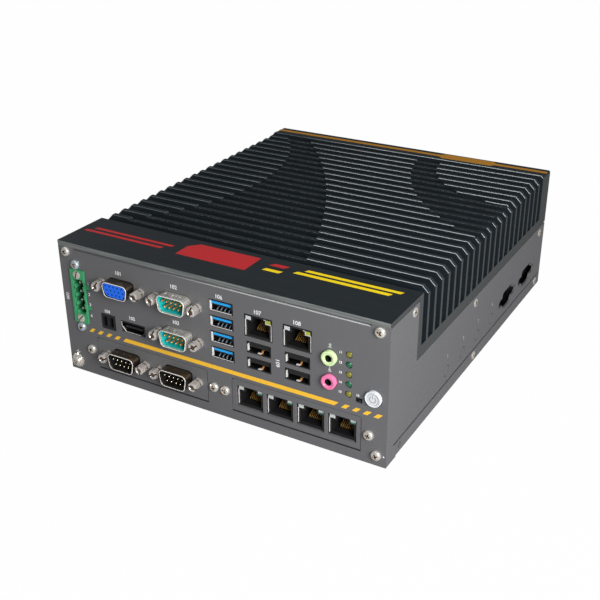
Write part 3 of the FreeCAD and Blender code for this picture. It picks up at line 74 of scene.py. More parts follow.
class Finish:
    """A node material with short calls for the nodes that the finishes share."""

    def __init__(self, name):
        self.material = bpy.data.materials.new(name)
        self.material.use_nodes = True
        self.tree = self.material.node_tree
        self.shader = self.tree.nodes["Principled BSDF"]
        self.place = self.add("ShaderNodeNewGeometry").outputs["Position"]

    def add(self, kind, **settings):
        node = self.tree.nodes.new(kind)
        for key, value in settings.items():
            setattr(node, key, value)
        return node

    def link(self, output, target):
        self.tree.links.new(output, target)

    def set(self, **values):
        for key, value in values.items():
            self.shader.inputs[key.replace("_", " ")].default_value = value

    def noise(self, size, detail=2.0, stretch=(1, 1, 1)):
        """Noise whose grains are about one size, in millimetres, and longer where the stretch is low."""
        mapping = self.add("ShaderNodeMapping")
        mapping.inputs["Scale"].default_value = stretch
        self.link(self.place, mapping.inputs["Vector"])
        node = self.add("ShaderNodeTexNoise")
        node.inputs["Scale"].default_value = 1 / (size * MM)
        node.inputs["Detail"].default_value = detail
        self.link(mapping.outputs["Vector"], node.inputs["Vector"])
        return node.outputs["Fac"]

    def ranged(self, value, low, high):
        """Stretch a 0 to 1 value to a range."""
        node = self.add("ShaderNodeMapRange")
        node.inputs["To Min"].default_value = low
        node.inputs["To Max"].default_value = high
        self.link(value, node.inputs["Value"])
        return node.outputs["Result"]

    def between(self, axis, start, end):
        """How far a point lies from one place on an axis to another, in millimetres, as 0 to 1."""
        split = self.add("ShaderNodeSeparateXYZ")
        self.link(self.place, split.inputs[0])
        node = self.add("ShaderNodeMapRange")
        node.inputs["From Min"].default_value = start * MM
        node.inputs["From Max"].default_value = end * MM
        self.link(split.outputs[axis], node.inputs["Value"])
        return node.outputs["Result"]

    def graded(self, value, stops):
        """A colour that runs between stops."""
        ramp = self.add("ShaderNodeValToRGB")
        elements = ramp.color_ramp.elements
        while len(elements) < len(stops):
            elements.new(0.5)
        for element, (position, colour) in zip(elements, stops):
            element.position = position
            element.color = (*colour, 1)
        self.link(value, ramp.inputs["Fac"])
        return ramp.outputs["Color"]

    def bumped(self, height, depth, strength):
        """Relief from a height map, with its depth in millimetres."""
        bump = self.add("ShaderNodeBump")
        bump.inputs["Distance"].default_value = depth * MM
        bump.inputs["Strength"].default_value = strength
        self.link(height, bump.inputs["Height"])
        self.link(bump.outputs["Normal"], self.shader.inputs["Normal"])

    def coloured(self, output):
        self.link(output, self.shader.inputs["Base Color"])

    def roughened(self, value, low, high):
        self.link(self.ranged(value, low, high), self.shader.inputs["Roughness"])


def tones(colour, *factors):
    """A colour made darker and lighter by some factors."""
    return [tuple(min(1.0, channel * factor) for channel in colour) for factor in factors]


def textured(name, colours, cloud, gloss, relief=None, stops=(0.3, 0.7), **values):
    """A finish whose colour, gloss and relief follow noises, each given as its size, detail and stretch."""
    finish = Finish(name)
    finish.coloured(finish.graded(finish.noise(*cloud), list(zip(stops, colours))))
    grain, low, high = gloss
    finish.roughened(finish.noise(*grain), low, high)
    if relief:
        grain, depth, strength = relief
        finish.bumped(finish.noise(*grain), depth, strength)
    finish.set(**values)
    return finish.material


def plated(name, colour, roughness, grain=0.6, metallic=1.0):
    """Plated steel: a bright metal with fine marks from tumbling."""
    gloss = ((grain * 0.4, 2), roughness * 0.75, roughness * 1.35)
    relief = ((grain, 3), 0.008, 0.5)
    return textured(name, tones(colour, 0.86, 1.05), (grain, 3), gloss, relief, Metallic=metallic)


def moulded(name, colour, roughness=0.42, coat=0.0):
    """Moulded plastic: a fine texture from its mould and an even colour."""
    gloss = ((0.3, 2), roughness * 0.85, roughness * 1.15)
    return textured(
        name, tones(colour, 0.92, 1.07), (1.6, 3), gloss, ((0.2, 2), 0.01, 0.5),
        Specular_IOR_Level=0.45, Coat_Weight=coat,
    )


def lens(name, colour):
    """A tinted lens with a little depth."""
    return textured(
        name, tones(colour, 0.8, 1.15), (0.8, 2), ((0.8, 2), 0.12, 0.2),
        Transmission_Weight=0.2, IOR=1.5, Coat_Weight=0.6,
    )


def printed(name, colour):
    """A screen-printed ink: nearly flat, and slightly uneven."""
    return textured(
        name, tones(colour, 0.92, 1.0), (1.2, 3), ((1.2, 3), 0.5, 0.62), ((0.3, 2), 0.006, 0.6),
        Specular_IOR_Level=0.3,
    )


def anodised():
    """Black anodised aluminium with the faint lines of its extrusion, and a painted sheen that makes the
    faces turned to the right paler.
    """
    finish = Finish("black_anodised")
    lines = finish.noise(0.5, 2, (0.02, 1, 1))
    coated = finish.graded(lines, list(zip((0.3, 0.75), tones((0.01, 0.015, 0.019), 0.82, 1.3))))
    facing = finish.add("ShaderNodeSeparateXYZ")
    finish.link(finish.add("ShaderNodeNewGeometry").outputs["Normal"], facing.inputs[0])
    # Painted sheen: the colour of faces turned to the right is mixed towards a paler grey.
    mix = finish.add("ShaderNodeMix", data_type="RGBA")
    share, first, second = (mix.inputs[number] for number in (0, 6, 7))
    finish.link(finish.ranged(facing.outputs["X"], -1.6, 1.0), share)
    finish.link(coated, first)
    second.default_value = (0.055, 0.06, 0.061, 1.0)
    finish.coloured(mix.outputs[2])
    finish.roughened(finish.noise(3, 3, (0.1, 1, 1)), 0.44, 0.56)
    finish.set(Specular_IOR_Level=0.22)
    finish.bumped(lines, 0.02, 0.6)
    return finish.material


def highlight_edge(name, start, end, dull, bright):
    """An edge with a painted highlight: dull on the left, brighter towards the right, where the light falls.
    """
    finish = Finish(name)
    along = finish.between("X", left + start, left + end)
    finish.coloured(finish.graded(along, [(0.0, dull), (1.0, bright)]))
    finish.roughened(finish.noise(0.5, 2), 0.35, 0.5)
    finish.bumped(finish.noise(0.3, 2, (0.1, 1, 1)), 0.01, 0.6)
    return finish.material


def shaded_well_plastic(name, colour, mouth, depth):
    """Moulded plastic with painted shade in its well, darker from its mouth to its depth, behind the panel's
    face.
    """
    finish = Finish(name)
    inward = finish.between("Y", front + mouth, front + depth)
    finish.coloured(finish.graded(inward, list(zip((0.0, 0.25, 1.0), tones(colour, 1, 0.45, 0.12)))))
    finish.roughened(finish.noise(0.3, 2), 0.36, 0.48)
    finish.set(Specular_IOR_Level=0.4)
    finish.bumped(finish.noise(0.2, 2), 0.01, 0.5)
    return finish.material


GREY = textured(
    "grey_powder_coat", tones((0.135, 0.135, 0.141), 0.84, 1.16), (0.35, 3), ((4, 3), 0.42, 0.54),
    ((0.5, 2), 0.03, 0.7), Specular_IOR_Level=0.3,
)
BLACK_LID = anodised()
NICKEL = plated("bright_nickel", (0.9, 0.86, 0.79), 0.26, metallic=0.72)
ZINC = plated("blue_zinc", (0.7, 0.8, 0.86), 0.28, metallic=0.7)
# Painted shade: a dark brown for the faces of screw recesses and slots, and deep in the posts.
RECESS_SHADE = plated("painted_recess_shade", (0.25, 0.17, 0.1), 0.4)
# Dull nickel plating, its colour darkened further as painted shade on the collars of the video port and of
# COM 3 and 4.
DULL_SHADED_NICKEL = plated("dull_shaded_nickel", (0.19, 0.155, 0.12), 0.3)
TIN = plated("bright_tin", (0.8, 0.78, 0.73), 0.24, metallic=0.75)
POST_NICKEL = plated("post_nickel", (0.93, 0.87, 0.82), 0.24, 3.0, metallic=0.72)
SHADED_TIN = plated("shaded_tin", (0.09, 0.09, 0.09), 0.4)
# Painted highlight: a pale, barely metallic tin for bright strips on port edges and round the tips of the
# D-shaped collars.
HIGHLIGHT_TIN = plated("painted_highlight_tin", (0.93, 0.9, 0.86), 0.45, metallic=0.25)
GOLD = plated("gold_plate", (0.9, 0.42, 0.12), 0.3, metallic=0.75)
CONTACT_GOLD = plated("contact_gold", (0.42, 0.23, 0.06), 0.35, metallic=0.4)
PALE_GOLD = plated("pale_gold_plate", (0.98, 0.86, 0.62), 0.24)
COPPER = plated("copper_contact", (0.9, 0.42, 0.12), 0.3, metallic=0.4)
BARE_METAL = plated("bare_aluminium", (0.75, 0.76, 0.78), 0.38)
TERMINAL_GREEN = shaded_well_plastic("terminal_green", (0.055, 0.34, 0.145), 0.0, 7.0)
PORT_BLUE = moulded("port_blue", (0.008, 0.16, 0.95), 0.38)
# Painted shade: a dark blue for the holes of the blue video port.
HOLE_SHADE_BLUE = moulded("hole_shade_blue", (0.003, 0.04, 0.25), 0.6)
USB_BLUE = moulded("tongue_blue", (0.01, 0.42, 1.0), 0.35)
PORT_TEAL = moulded("port_teal", (0.018, 0.47, 0.46), 0.3)
PORT_BLACK = moulded("port_black", (0.01, 0.01, 0.011), 0.42)
CHIP_BLACK = moulded("chip_black", (0.02, 0.02, 0.02), 0.5)
SOFT_PAD = moulded("pad_grey", (0.32, 0.34, 0.38), 0.8)
RING_GREEN = moulded("ring_green", (0.66, 0.83, 0.44), 0.36, 0.3)
RING_PINK = moulded("ring_pink", (0.9, 0.2, 0.42), 0.36, 0.3)
BUTTON_WHITE = moulded("button_white", (0.7, 0.73, 0.76), 0.3, 0.4)
LIGHT_WHITE = moulded("light_white", (0.6, 0.64, 0.62), 0.3, 0.3)
LIGHT_GREEN = moulded("light_green", (0.06, 0.22, 0.14), 0.3, 0.3)
LIGHT_YELLOW = moulded("light_yellow", (0.38, 0.42, 0.05), 0.3, 0.3)
LAMP_OLIVE = lens("lamp_olive", (0.26, 0.25, 0.02))
LAMP_GREEN = lens("lamp_green", (0.01, 0.16, 0.07))
TRACKS, GRAIN = (1.2, 1, (1, 0.15, 1)), (0.4, 3)
BOARD = textured(
    "circuit_board", tones((0.01, 0.09, 0.045), 1, 1.6), TRACKS, (TRACKS, 0.3, 0.42), (TRACKS, 0.03, 0.6),
    (0.42, 0.55),
)
RUBBER = textured(
    "foot_rubber", ((0.012, 0.012, 0.013), (0.03, 0.03, 0.032)), GRAIN, (GRAIN, 0.7, 0.9), (GRAIN, 0.04, 0.7),
)
INK_ORANGE = printed("ink_orange", (1.0, 0.56, 0.04))
INK_RED = printed("ink_red", (0.5, 0.016, 0.02))
INK_YELLOW = printed("ink_yellow", (0.95, 0.7, 0.0))
INK_GOLD = printed("ink_gold", (0.45, 0.2, 0.01))
INK_WHITE = printed("ink_white", (0.9, 0.91, 0.92))
INK_GREY = printed("ink_grey", (0.42, 0.43, 0.45))
# The bare cut edge along the top of the panel; its brightening towards the right is a painted highlight.
CUT_EDGE_HIGHLIGHT = highlight_edge("cut_edge_with_highlight", 60, 110, (0.16, 0.165, 0.17), (0.76, 0.76, 0.76))
# Painted highlights along the fins' front edges, brighter towards the right.
FIN_EDGE_HIGHLIGHT = highlight_edge("fin_edge_highlight", 25, 85, (0.13, 0.15, 0.16), (0.46, 0.5, 0.52))
FAINT_GLINT_NOISE, LINES = (1.1, 2, (1, 0.2, 0.2)), (0.5, 3, (0.02, 1, 1))
# Painted highlights, faint and broken up, on the fin edges in the milled arcs.
FAINT_FIN_HIGHLIGHT = textured(
    "faint_fin_highlight", ((0.015, 0.02, 0.024), (0.08, 0.088, 0.093)), FAINT_GLINT_NOISE, (FAINT_GLINT_NOISE, 0.4, 0.5), (FAINT_GLINT_NOISE, 0.01, 0.5),
    (0.4, 0.62),
)
MILLED_LIP = textured(
    "milled_lip", tones((0.19, 0.207, 0.203), 0.7, 1.35), LINES, (LINES, 0.45, 0.6), (LINES, 0.02, 0.6),
    (0.35, 0.65), Metallic=0.3,
)

USB_STACKS = ["lan_usb_1_housing", "lan_usb_2_housing"]
LAN_JACKS = ["lan_jack_1", "lan_jack_2", "lan_jack_3", "lan_jack_4"]
CAD_FINISHES = {
    BLACK_LID: ["heatsink"],
    GREY: ["front_panel", "chassis", "bottom_cover", "serial_module_plate", "lan_module_plate"],
    RUBBER: ["rubber_feet"],
    TERMINAL_GREEN: ["power_terminal"],
    TIN: ["power_terminal_pins", "com_1_shell", "com_2_shell", "coin_cell"],
    SHADED_TIN: ["display_shell", "usb3_housing", *USB_STACKS, *LAN_JACKS],
    PORT_BLACK: [
        "remote_switch_header", "display_tongue", "com_3_insert", "com_4_insert", "jack_inserts",
        "audio_jack_block", "lamp_holder", "selector_switch", "power_switch", "memory_socket",
        "battery_holder",
    ],
    USB_BLUE: ["usb3_tongues"],
    PORT_BLUE: ["vga_insert"],
    PORT_TEAL: ["com_1_insert", "com_2_insert"],
    CONTACT_GOLD: ["jack_contacts"],
    GOLD: ["serial_pins"],
    LIGHT_WHITE: ["jack_lights"],
    BOARD: ["mainboard", "serial_module_board", "lan_module_board", "memory_module"],
    CHIP_BLACK: ["processor"],
    SOFT_PAD: ["thermal_pad"],
    BARE_METAL: ["heat_block", "drive_bracket", "storage_drive"],
    NICKEL: [
        "standoffs", "pan_screws", "case_screws", "earth_washers", "power_terminal_screws",
        "jackscrews", "vga_shell",
    ],
    DULL_SHADED_NICKEL: ["com_3_shell", "com_4_shell"],
    RING_PINK: ["microphone_ring"],
    RING_GREEN: ["line_out_ring"],
    LAMP_OLIVE: ["status_lamps"],
    BUTTON_WHITE: ["power_button"],
}
for node_finish, node_names in CAD_FINISHES.items():
    for node_name in node_names:
        node_slots = nodes[node_name].data.materials
        node_slots.clear()
        node_slots.append(node_finish)


# Tools for shapes


def soften(thing, width, angle=30):
    """Round the sharp edges of an object as it is shown."""
    bevel = thing.modifiers.new("soft_edges", "BEVEL")
    bevel.width = width * MM
    bevel.segments = 2
    bevel.limit_method = "ANGLE"
    bevel.angle_limit = math.radians(angle)
    bevel.harden_normals = True


def dee_outline(width, height, slant, corner, runs=6):
    """The outline of a D shape with its wide side up and round corners, about its middle."""
    half, rise = width / 2, height / 2
    tips = [(half, rise), (-half, rise), (-half + slant, -rise), (half - slant, -rise)]
    tips = [Vector(tip) for tip in tips]
    points = []
    for number, tip in enumerate(tips):
        back = (tips[number - 1] - tip).normalized()
        ahead = (tips[(number + 1) % len(tips)] - tip).normalized()
        half_angle = back.angle(ahead) / 2
        centre = tip + (back + ahead).normalized() * (corner / math.sin(half_angle))
        start = tip + back * (corner / math.tan(half_angle)) - centre
        sweep = math.pi - half_angle * 2
        for run in range(runs + 1):
            points.append(tuple(centre + Matrix.Rotation(sweep * run / runs, 2) @ start))
    return points


class Shape:
    """A mesh built up in millimetres in the frame of one face of the case."""

    def __init__(self, place):
        self.mesh = bmesh.new()
        self.place = place

    def corner(self, across, up, out):
        return self.mesh.verts.new(self.place @ Vector((across, up, out)) * MM)

    def skin(self, rings, slot=0, closed=False):
        """Faces between rings of points, with the ends capped unless the rings close on themselves."""
        made = []
        for low, high in zip(rings, rings[1:] + rings[:1] if closed else rings[1:]):
            count = max(len(low), len(high))
            for step in range(count):
                after = (step + 1) % count
                if len(low) == 1:
                    corners = (low[0], high[after], high[step])
                elif len(high) == 1:
                    corners = (low[step], low[after], high[0])
                else:
                    corners = (low[step], low[after], high[after], high[step])
                made.append(self.mesh.faces.new(corners))
        if not closed:
            made += [self.mesh.faces.new(ring) for ring in (rings[0], rings[-1]) if len(ring) > 2]
        for face in made:
            face.material_index = slot

    def turned(self, profile, middle=(0, 0, 0), sides=32, slot=0, closed=False):
        """A lathe shape about the way out of the face: a profile of radius and height."""
        rings = []
        for radius, out in profile:
            ring = []
            for side in range(sides if radius else 1):
                angle = math.tau * side / sides
                across = middle[0] + radius * math.cos(angle)
                up = middle[1] + radius * math.sin(angle)
                ring.append(self.corner(across, up, middle[2] + out))
            rings.append(ring)
        self.skin(rings, slot, closed)

    def prism(self, points, out, slot=0, middle=(0, 0)):
        """An outline about a middle, raised from a low to a high level."""
        placed = [(across + middle[0], up + middle[1]) for across, up in points]
        self.layers([(placed, level) for level in out], slot)

    def slab(self, across, up, out, slot=0):
        """A block between pairs of limits."""
        (start, end), (low, high) = across, up
        self.prism([(start, low), (end, low), (end, high), (start, high)], out, slot)

    def layers(self, outlines, slot=0, closed=False):
        """Outlines of the same count of points, each with its level, joined one to the next."""
        rings = [[self.corner(across, up, out) for across, up in points] for points, out in outlines]
        self.skin(rings, slot, closed)

    def to_mesh(self, name):
        mesh = bpy.data.meshes.new(name)
        bmesh.ops.recalc_face_normals(self.mesh, faces=self.mesh.faces)
        self.mesh.to_mesh(mesh)
        self.mesh.free()
        return mesh


def in_scene(name, data):
    """A new object in the scene."""
    thing = bpy.data.objects.new(name, data)
    bpy.context.scene.collection.objects.link(thing)
    return thing


def evaluated(thing):
    """The mesh of an object with its modifiers, or of a text."""
    bpy.context.view_layer.update()
    graph = bpy.context.evaluated_depsgraph_get()
    return bpy.data.meshes.new_from_object(thing.evaluated_get(graph))


def carved(shape, cutter):
    """A shape with another cut out of it, as a mesh. The cutter's faces keep their slots."""
    base = in_scene("carve_base", shape.to_mesh("carve_base"))
    tool = in_scene("carve_tool", cutter.to_mesh("carve_tool"))
    for thing in (base, tool):
        for material in (NICKEL, RECESS_SHADE):
            thing.data.materials.append(material)
    cut = base.modifiers.new("cut", "BOOLEAN")
    cut.object, cut.operation, cut.solver = tool, "DIFFERENCE", "EXACT"
    mesh = evaluated(base)
    for thing in (base, tool):
        bpy.data.objects.remove(thing)
    return mesh


def merged(pairs):
    """One mesh from meshes, each with the matrix that sets it in place."""
    whole = bmesh.new()
    for mesh, place in pairs:
        first = len(whole.verts)
        whole.from_mesh(mesh)
        whole.verts.ensure_lookup_table()
        bmesh.ops.transform(whole, matrix=place, verts=whole.verts[first:])
    result = bpy.data.meshes.new("merged")
    whole.to_mesh(result)
    whole.free()
    return result


def on_face(face, place, turn=0.0):
    """The matrix, in metres, that sets a shape drawn at the origin onto a place of a face."""
    matrix = face @ Matrix.Translation(Vector(place)) @ Matrix.Rotation(math.radians(turn), 4, "Z")
    matrix.translation *= MM
    return matrix


def finish_piece(name, mesh, materials, stands_for=(), body="case", smooth=35, bevel=0.0):
    """Make a piece: its mesh, finishes, material slot, the nodes it stands for and its body."""
    if isinstance(mesh, Shape):
        mesh = mesh.to_mesh(name)
    mesh.name = name
    for number, material in enumerate(materials):
        if number < len(mesh.materials):
            mesh.materials[number] = material
        else:
            mesh.materials.append(material)
    mesh.shade_smooth()
    mesh.set_sharp_from_angle(angle=math.radians(smooth))
    piece = in_scene(name, mesh)
    if bevel:
        soften(piece, bevel, smooth)
    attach(piece, body)
    if stands_for:
        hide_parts(*stands_for)


def solids_of(node):
    """The lowest and highest corners of each separate solid of a CAD node, in millimetres."""
    mesh = bmesh.new()
    mesh.from_mesh(nodes[node].data)
    bmesh.ops.remove_doubles(mesh, verts=mesh.verts, dist=0.001 * MM)
    boxes = []
    seen = set()
    for first in mesh.verts:
        if first in seen:
            continue
        seen.add(first)
        found = [first]
        for vert in found:  # the list grows while it is read
            for other in (edge.other_vert(vert) for edge in vert.link_edges):
                if other not in seen:
                    seen.add(other)
                    found.append(other)
        low = Vector([min(vert.co[axis] for vert in found) for axis in range(3)]) / MM
        high = Vector([max(vert.co[axis] for vert in found) for axis in range(3)]) / MM
        boxes.append((low, high))
    mesh.free()
    return sorted(boxes, key=lambda box: [round(value, 2) for value in box[0]])


def front_places(node, reach):
    """Where the solids of a node stand on the front: across, up and out, of a point short of their tips."""
    places = []
    for low, high in solids_of(node):
        middle = (low + high) / 2
        places.append((middle.x - left, middle.z - hem, front - low.y - reach))
    return places


def column_of(node):
    """How far across the front the middle of a node lies."""
    low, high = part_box(node)
    return (low.x + high.x) / 2 / MM - left


# Screws and posts

# Profiles of screws, from the middle of the tip to the middle of the head: radius and height over the seat
SHANK = [(0, -4.2), (1.2, -4.2), (1.4, -3.9), (1.4, 0)]
PAN_HEAD = [*SHANK, (2.6, 0), (2.6, 0.6), (2.5, 1.0), (2.25, 1.35), (1.8, 1.6), (1.1, 1.75), (0, 1.8)]
FLAT_HEAD = [*SHANK, (2.4, 0), (2.4, 0.2), (2.2, 0.4), (1.6, 0.48), (0, 0.5)]
SLOT_HEAD = [(0, -8), (1.4, -8), (1.4, 0), (2.3, 0), (2.3, 0.35), (2.1, 0.52), (1.6, 0.6), (0, 0.6)]


def height_of(profile):
    """How high a screw's head stands over its seat."""
    return profile[-1][1]


def cross(reach, half_width):
    """The outline of a plus sign."""
    return [
        (reach, -half_width), (reach, half_width), (half_width, half_width), (half_width, reach),
        (-half_width, reach), (-half_width, half_width), (-reach, half_width), (-reach, -half_width),
        (-half_width, -half_width), (-half_width, -reach), (half_width, -reach), (half_width, -half_width),
    ]


def cross_head(profile, depth):
    """A screw with a tapered cross recess."""
    body = Shape(ORIGIN)
    body.turned(profile, sides=36)
    top = height_of(profile)
    recess = Shape(ORIGIN)
    recess.layers([(cross(0.5, 0.2), top - depth), (cross(1.5, 0.4), top + 0.1)], 1)
    return carved(body, recess)


def screw_piece(name, heads, node, finish=NICKEL):
    """One piece from the placed meshes of screws or posts, with painted shade in their recesses."""
    finish_piece(name, merged(heads), [finish, RECESS_SHADE], [node])


def make_screws():
    """The pan head screws of the front and the boards, and the flat ones of the sides."""
    pan = cross_head(PAN_HEAD, 1.1)
    head = height_of(PAN_HEAD)
    nickel, zinc = [], []
    for number, (low, high) in enumerate(solids_of("pan_screws")):
        middle = (low + high) / 2
        turn = 23 + 37 * number
        if high.z - low.z > high.y - low.y:
            under = face_frame((middle.x, middle.y, low.z + head), (1, 0, 0), (0, -1, 0), (0, 0, -1))
            nickel.append((pan, on_face(under, (0, 0, 0), turn)))
            continue
        across, up = middle.x - left, middle.z - hem
        beside_terminal = 9 < across < 13 and 20 < up < 70
        place = on_face(FRONT, (across, up, front - low.y - head), turn)
        (zinc if beside_terminal else nickel).append((pan, place))
    screw_piece("pan_screw_heads", nickel, "pan_screws")
    screw_piece("bracket_screw_heads", zinc, "pan_screws", ZINC)
    flat = cross_head(FLAT_HEAD, 0.4)
    head = height_of(FLAT_HEAD)
    sides = []
    for number, (low, high) in enumerate(solids_of("case_screws")):
        middle = (low + high) / 2
        turn = 11 + 31 * number
        if middle.x > 0:
            place = on_face(RIGHT, (middle.y - front, middle.z - hem, high.x - right - head), turn)
        else:
            place = on_face(LEFT, (front - middle.y, middle.z - hem, left - low.x - head), turn)
        sides.append((flat, place))
    screw_piece("case_screw_heads", sides, "case_screws")
    body, slot = Shape(ORIGIN), Shape(ORIGIN)
    body.turned(SLOT_HEAD, sides=36)
    slot.slab((-2.6, 2.6), (-0.32, 0.32), (0.12, 1.0), 1)
    slotted = carved(body, slot)
    heads = []
    for number, place in enumerate(front_places("power_terminal_screws", height_of(SLOT_HEAD))):
        heads.append((slotted, on_face(FRONT, place, 48 + 24 * number)))
    screw_piece("terminal_screw_heads", heads, "power_terminal_screws")


def make_posts():
    """Hexagonal posts: chamfered, bored and slotted at the end, each turned its own way."""
    sides, radius, tip_radius, length = 48, 2.7, 2.2, 6.5
    part = math.pi / 6
    angles = [math.tau * side / sides for side in range(sides)]
    flats = [radius * math.cos(part) / math.cos(angle % (2 * part) - part) for angle in angles]
    body = Shape(ORIGIN)

    def ring(radii, levels):
        return [
            body.corner(size * math.cos(angle), size * math.sin(angle), out)
            for angle, size, out in zip(angles, radii, levels)
        ]

    def circle(size, out):
        return ring([size] * sides, [out] * sides)

    shoulders = [length - 0.12 - (size - tip_radius) * 0.6 for size in flats]
    body.skin([
        [body.corner(0, 0, -5)],
        circle(1.4, -5),
        circle(1.4, 0),
        ring(flats, [0] * sides),
        ring(flats, [1.75] * sides),
        circle(2.0, 1.85),
        circle(2.0, 2.15),
        ring(flats, [2.25] * sides),
        ring(flats, shoulders),
        circle(tip_radius, length - 0.05),
        circle(tip_radius - 0.12, length),
        circle(1.5, length),
        circle(1.3, length - 0.25),
        circle(1.3, length - 4.5),
        [body.corner(0, 0, length - 4.5)],
    ])
    # Painted shade: a dark disc down the bore and a dark ring in the groove of each post.
    slot, dark = Shape(ORIGIN), Shape(ORIGIN)
    slot.slab((-3, 3), (-0.38, 0.38), (length - 1.1, length + 1), 1)
    floor, mouth = length - 1.4, length - 0.5
    dark.turned([(0, floor), (0.95, floor), (0.95, mouth), (0, mouth)], sides=24, slot=1)
    dark.turned([(1.9, 1.75), (2.5, 1.75), (2.5, 2.2), (1.9, 2.2)], sides=36, slot=1, closed=True)
    post = merged([(carved(body, slot), ORIGIN), (dark.to_mesh("dark"), ORIGIN)])
    posts = []
    for number, place in enumerate(front_places("jackscrews", length)):
        posts.append((post, on_face(FRONT, place, 15 + 47 * number)))
    screw_piece("port_posts", posts, "jackscrews", POST_NICKEL)


def make_earth_washers():
    """A toothed lock washer under a plain one."""
    points = 48
    star = Shape(FRONT)
    low, high = max(solids_of("earth_washers"), key=lambda box: box[1].x - box[0].x)
    middle = (low + high) / 2
    across, up = middle.x - left, middle.z - hem

    def ring(outer, inner, shift):
        outline = []
        for step in range(points):
            angle = math.tau * (step + shift) / points
            size = outer if step % 4 < 2 else inner
            outline.append((across + size * math.cos(angle), up + size * math.sin(angle)))
        return outline

    bore, twist, thickness = 1.6, 0.8, 0.6
    star.layers([
        (ring(4.2, 3.5, 0), 0), (ring(4.2, 3.5, twist), thickness),
        (ring(bore, bore, twist), thickness), (ring(bore, bore, 0), 0),
    ], closed=True)
    plain = [(bore, 0.62), (3.5, 0.62), (3.6, 0.75), (3.6, 1.1), (3.5, 1.2), (bore, 1.2)]
    star.turned(plain, (across, up, 0), 40, 0, True)
    finish_piece("earth_lock_washers", star, [NICKEL], ["earth_washers"])


# D-shaped ports

SHELLS = [
    ("vga_shell", 16.9, 8.5, DULL_SHADED_NICKEL, "bright_steel", False),
    ("com_1_shell", 17.9, 9.3, TIN, "bright_steel", True),
    ("com_2_shell", 17.9, 9.3, TIN, "bright_steel", True),
    ("com_3_shell", 17.9, 9.3, DULL_SHADED_NICKEL, "dark_steel", True),
    ("com_4_shell", 17.9, 9.3, DULL_SHADED_NICKEL, "dark_steel", True),
]


def make_port_shells():
    """Pressed shells: a flange, a drawn collar with a turned-in lip, and the contact dents of a plug."""
    slant, corner = 1.6, 2.6
    for node, width, height, material, slot, dented in SHELLS:
        low, high = (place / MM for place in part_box(node))
        middle = (low + high) / 2
        place = face_frame((middle.x, front, middle.z), (1, 0, 0), (0, 0, 1), (0, -1, 0))
        tip, back = front - low.y, front - high.y

        def outline(inset):
            return dee_outline(width - inset * 2, height - inset * 2, slant, corner - inset)

        collar = Shape(place)
        collar.layers([
            (outline(0), back + 0.4), (outline(0), tip - 0.35), (outline(0.06), tip - 0.12),
            (outline(0.2), tip), (outline(0.34), tip - 0.02), (outline(0.5), tip - 0.3),
            (outline(0.5), back + 0.4),
        ], closed=True)
        dents = Shape(place)
        size = 1.3
        angles = [math.pi * step / 12 for step in range(1, 12)]
        ball = [(size * math.sin(angle), -size * math.cos(angle)) for angle in angles]
        ball = [(0, -size), *ball, (0, size)]
        for shift in (-4.6, 0, 4.6):
            for level in (height / 2 + 1.0, -height / 2 - 1.0):
                dents.turned(ball, (shift, level, tip - 3.1), 20)
        dented_mesh = carved(collar, dents) if dented else collar.to_mesh(node)
        flange = Shape(place)
        half = (high - low) / 2
        flange.slab((-half.x, half.x), (-half.z, half.z), (back, back + 1.0))
        window = Shape(place)
        window.prism(outline(0.5), (back - 1, back + 2))
        plate = carved(flange, window)
        whole = merged([(dented_mesh, ORIGIN), (plate, ORIGIN)])
        finish_piece(node.replace("_shell", "_collar"), whole, [material], [node], smooth=40)
        # Painted highlight: a pale strip round the tip of the collar.
        rim = Shape(place)
        rim.layers([
            (outline(-0.01), tip - 0.2), (outline(0.1), tip + 0.01), (outline(0.36), tip + 0.01),
            (outline(0.42), tip - 0.2),
        ], closed=True)
        finish_piece(node.replace("_shell", "_rim"), rim, [HIGHLIGHT_TIN])
        if not dented:
            continue
        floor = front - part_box(node.replace("_shell", "_insert"))[0].y / MM
        liner = Shape(place)
        liner.layers([
            (outline(0.52), floor), (outline(0.52), tip - 1.0), (outline(0.8), tip - 1.0),
            (outline(0.9), floor),
        ], closed=True)
        plastic, slot = (PORT_TEAL, "port_teal") if material == TIN else (PORT_BLACK, "port_black")
        finish_piece(node.replace("_shell", "_lining"), liner, [plastic])


def make_pins():
    """Round-nosed pins, brighter in the lower module."""
    length = 4.0
    pin = Shape(ORIGIN)
    pin.turned([(0, 0), (0.5, 0), (0.5, 3.2), (0.46, 3.5), (0.34, 3.8), (0.18, 3.95), (0, length)], sides=16)
    mesh = pin.to_mesh("pin")
    upper, lower = [], []
    for place in front_places("serial_pins", length):
        (upper if place[1] > 30 else lower).append((mesh, on_face(FRONT, place)))
    finish_piece("serial_pins_upper", merged(upper), [GOLD], ["serial_pins"])
    finish_piece("serial_pins_lower", merged(lower), [PALE_GOLD], ["serial_pins"])


# Round ports, lamps and the button


def make_audio_rings():
    """The coloured collars of the two audio sockets, each with a step round its bore."""
    profile = [
        (1.75, -1.4), (1.75, 1.5), (1.9, 1.66), (2.5, 1.68), (2.62, 1.9), (2.72, 2.0), (3.4, 2.0),
        (3.7, 1.88), (3.8, 1.6), (3.8, -1.4),
    ]
    for node, name, material, slot in (
        ("microphone_ring", "microphone_collar", RING_PINK, "ring_pink"),
        ("line_out_ring", "line_out_collar", RING_GREEN, "ring_green"),
    ):
        across, up, out = front_places(node, 2.0)[0]
        ring = Shape(FRONT)
        ring.turned(profile, (across, up, out), 56, 0, True)
        finish_piece(name, ring, [material], [node])
        lining = Shape(FRONT)
        lining.turned([(1.45, -1.4), (1.74, -1.4), (1.74, 1.6), (1.45, 1.6)], (across, up, out), 40, 0, True)
        finish_piece(name.replace("_collar", "_lining"), lining, [PORT_BLACK])


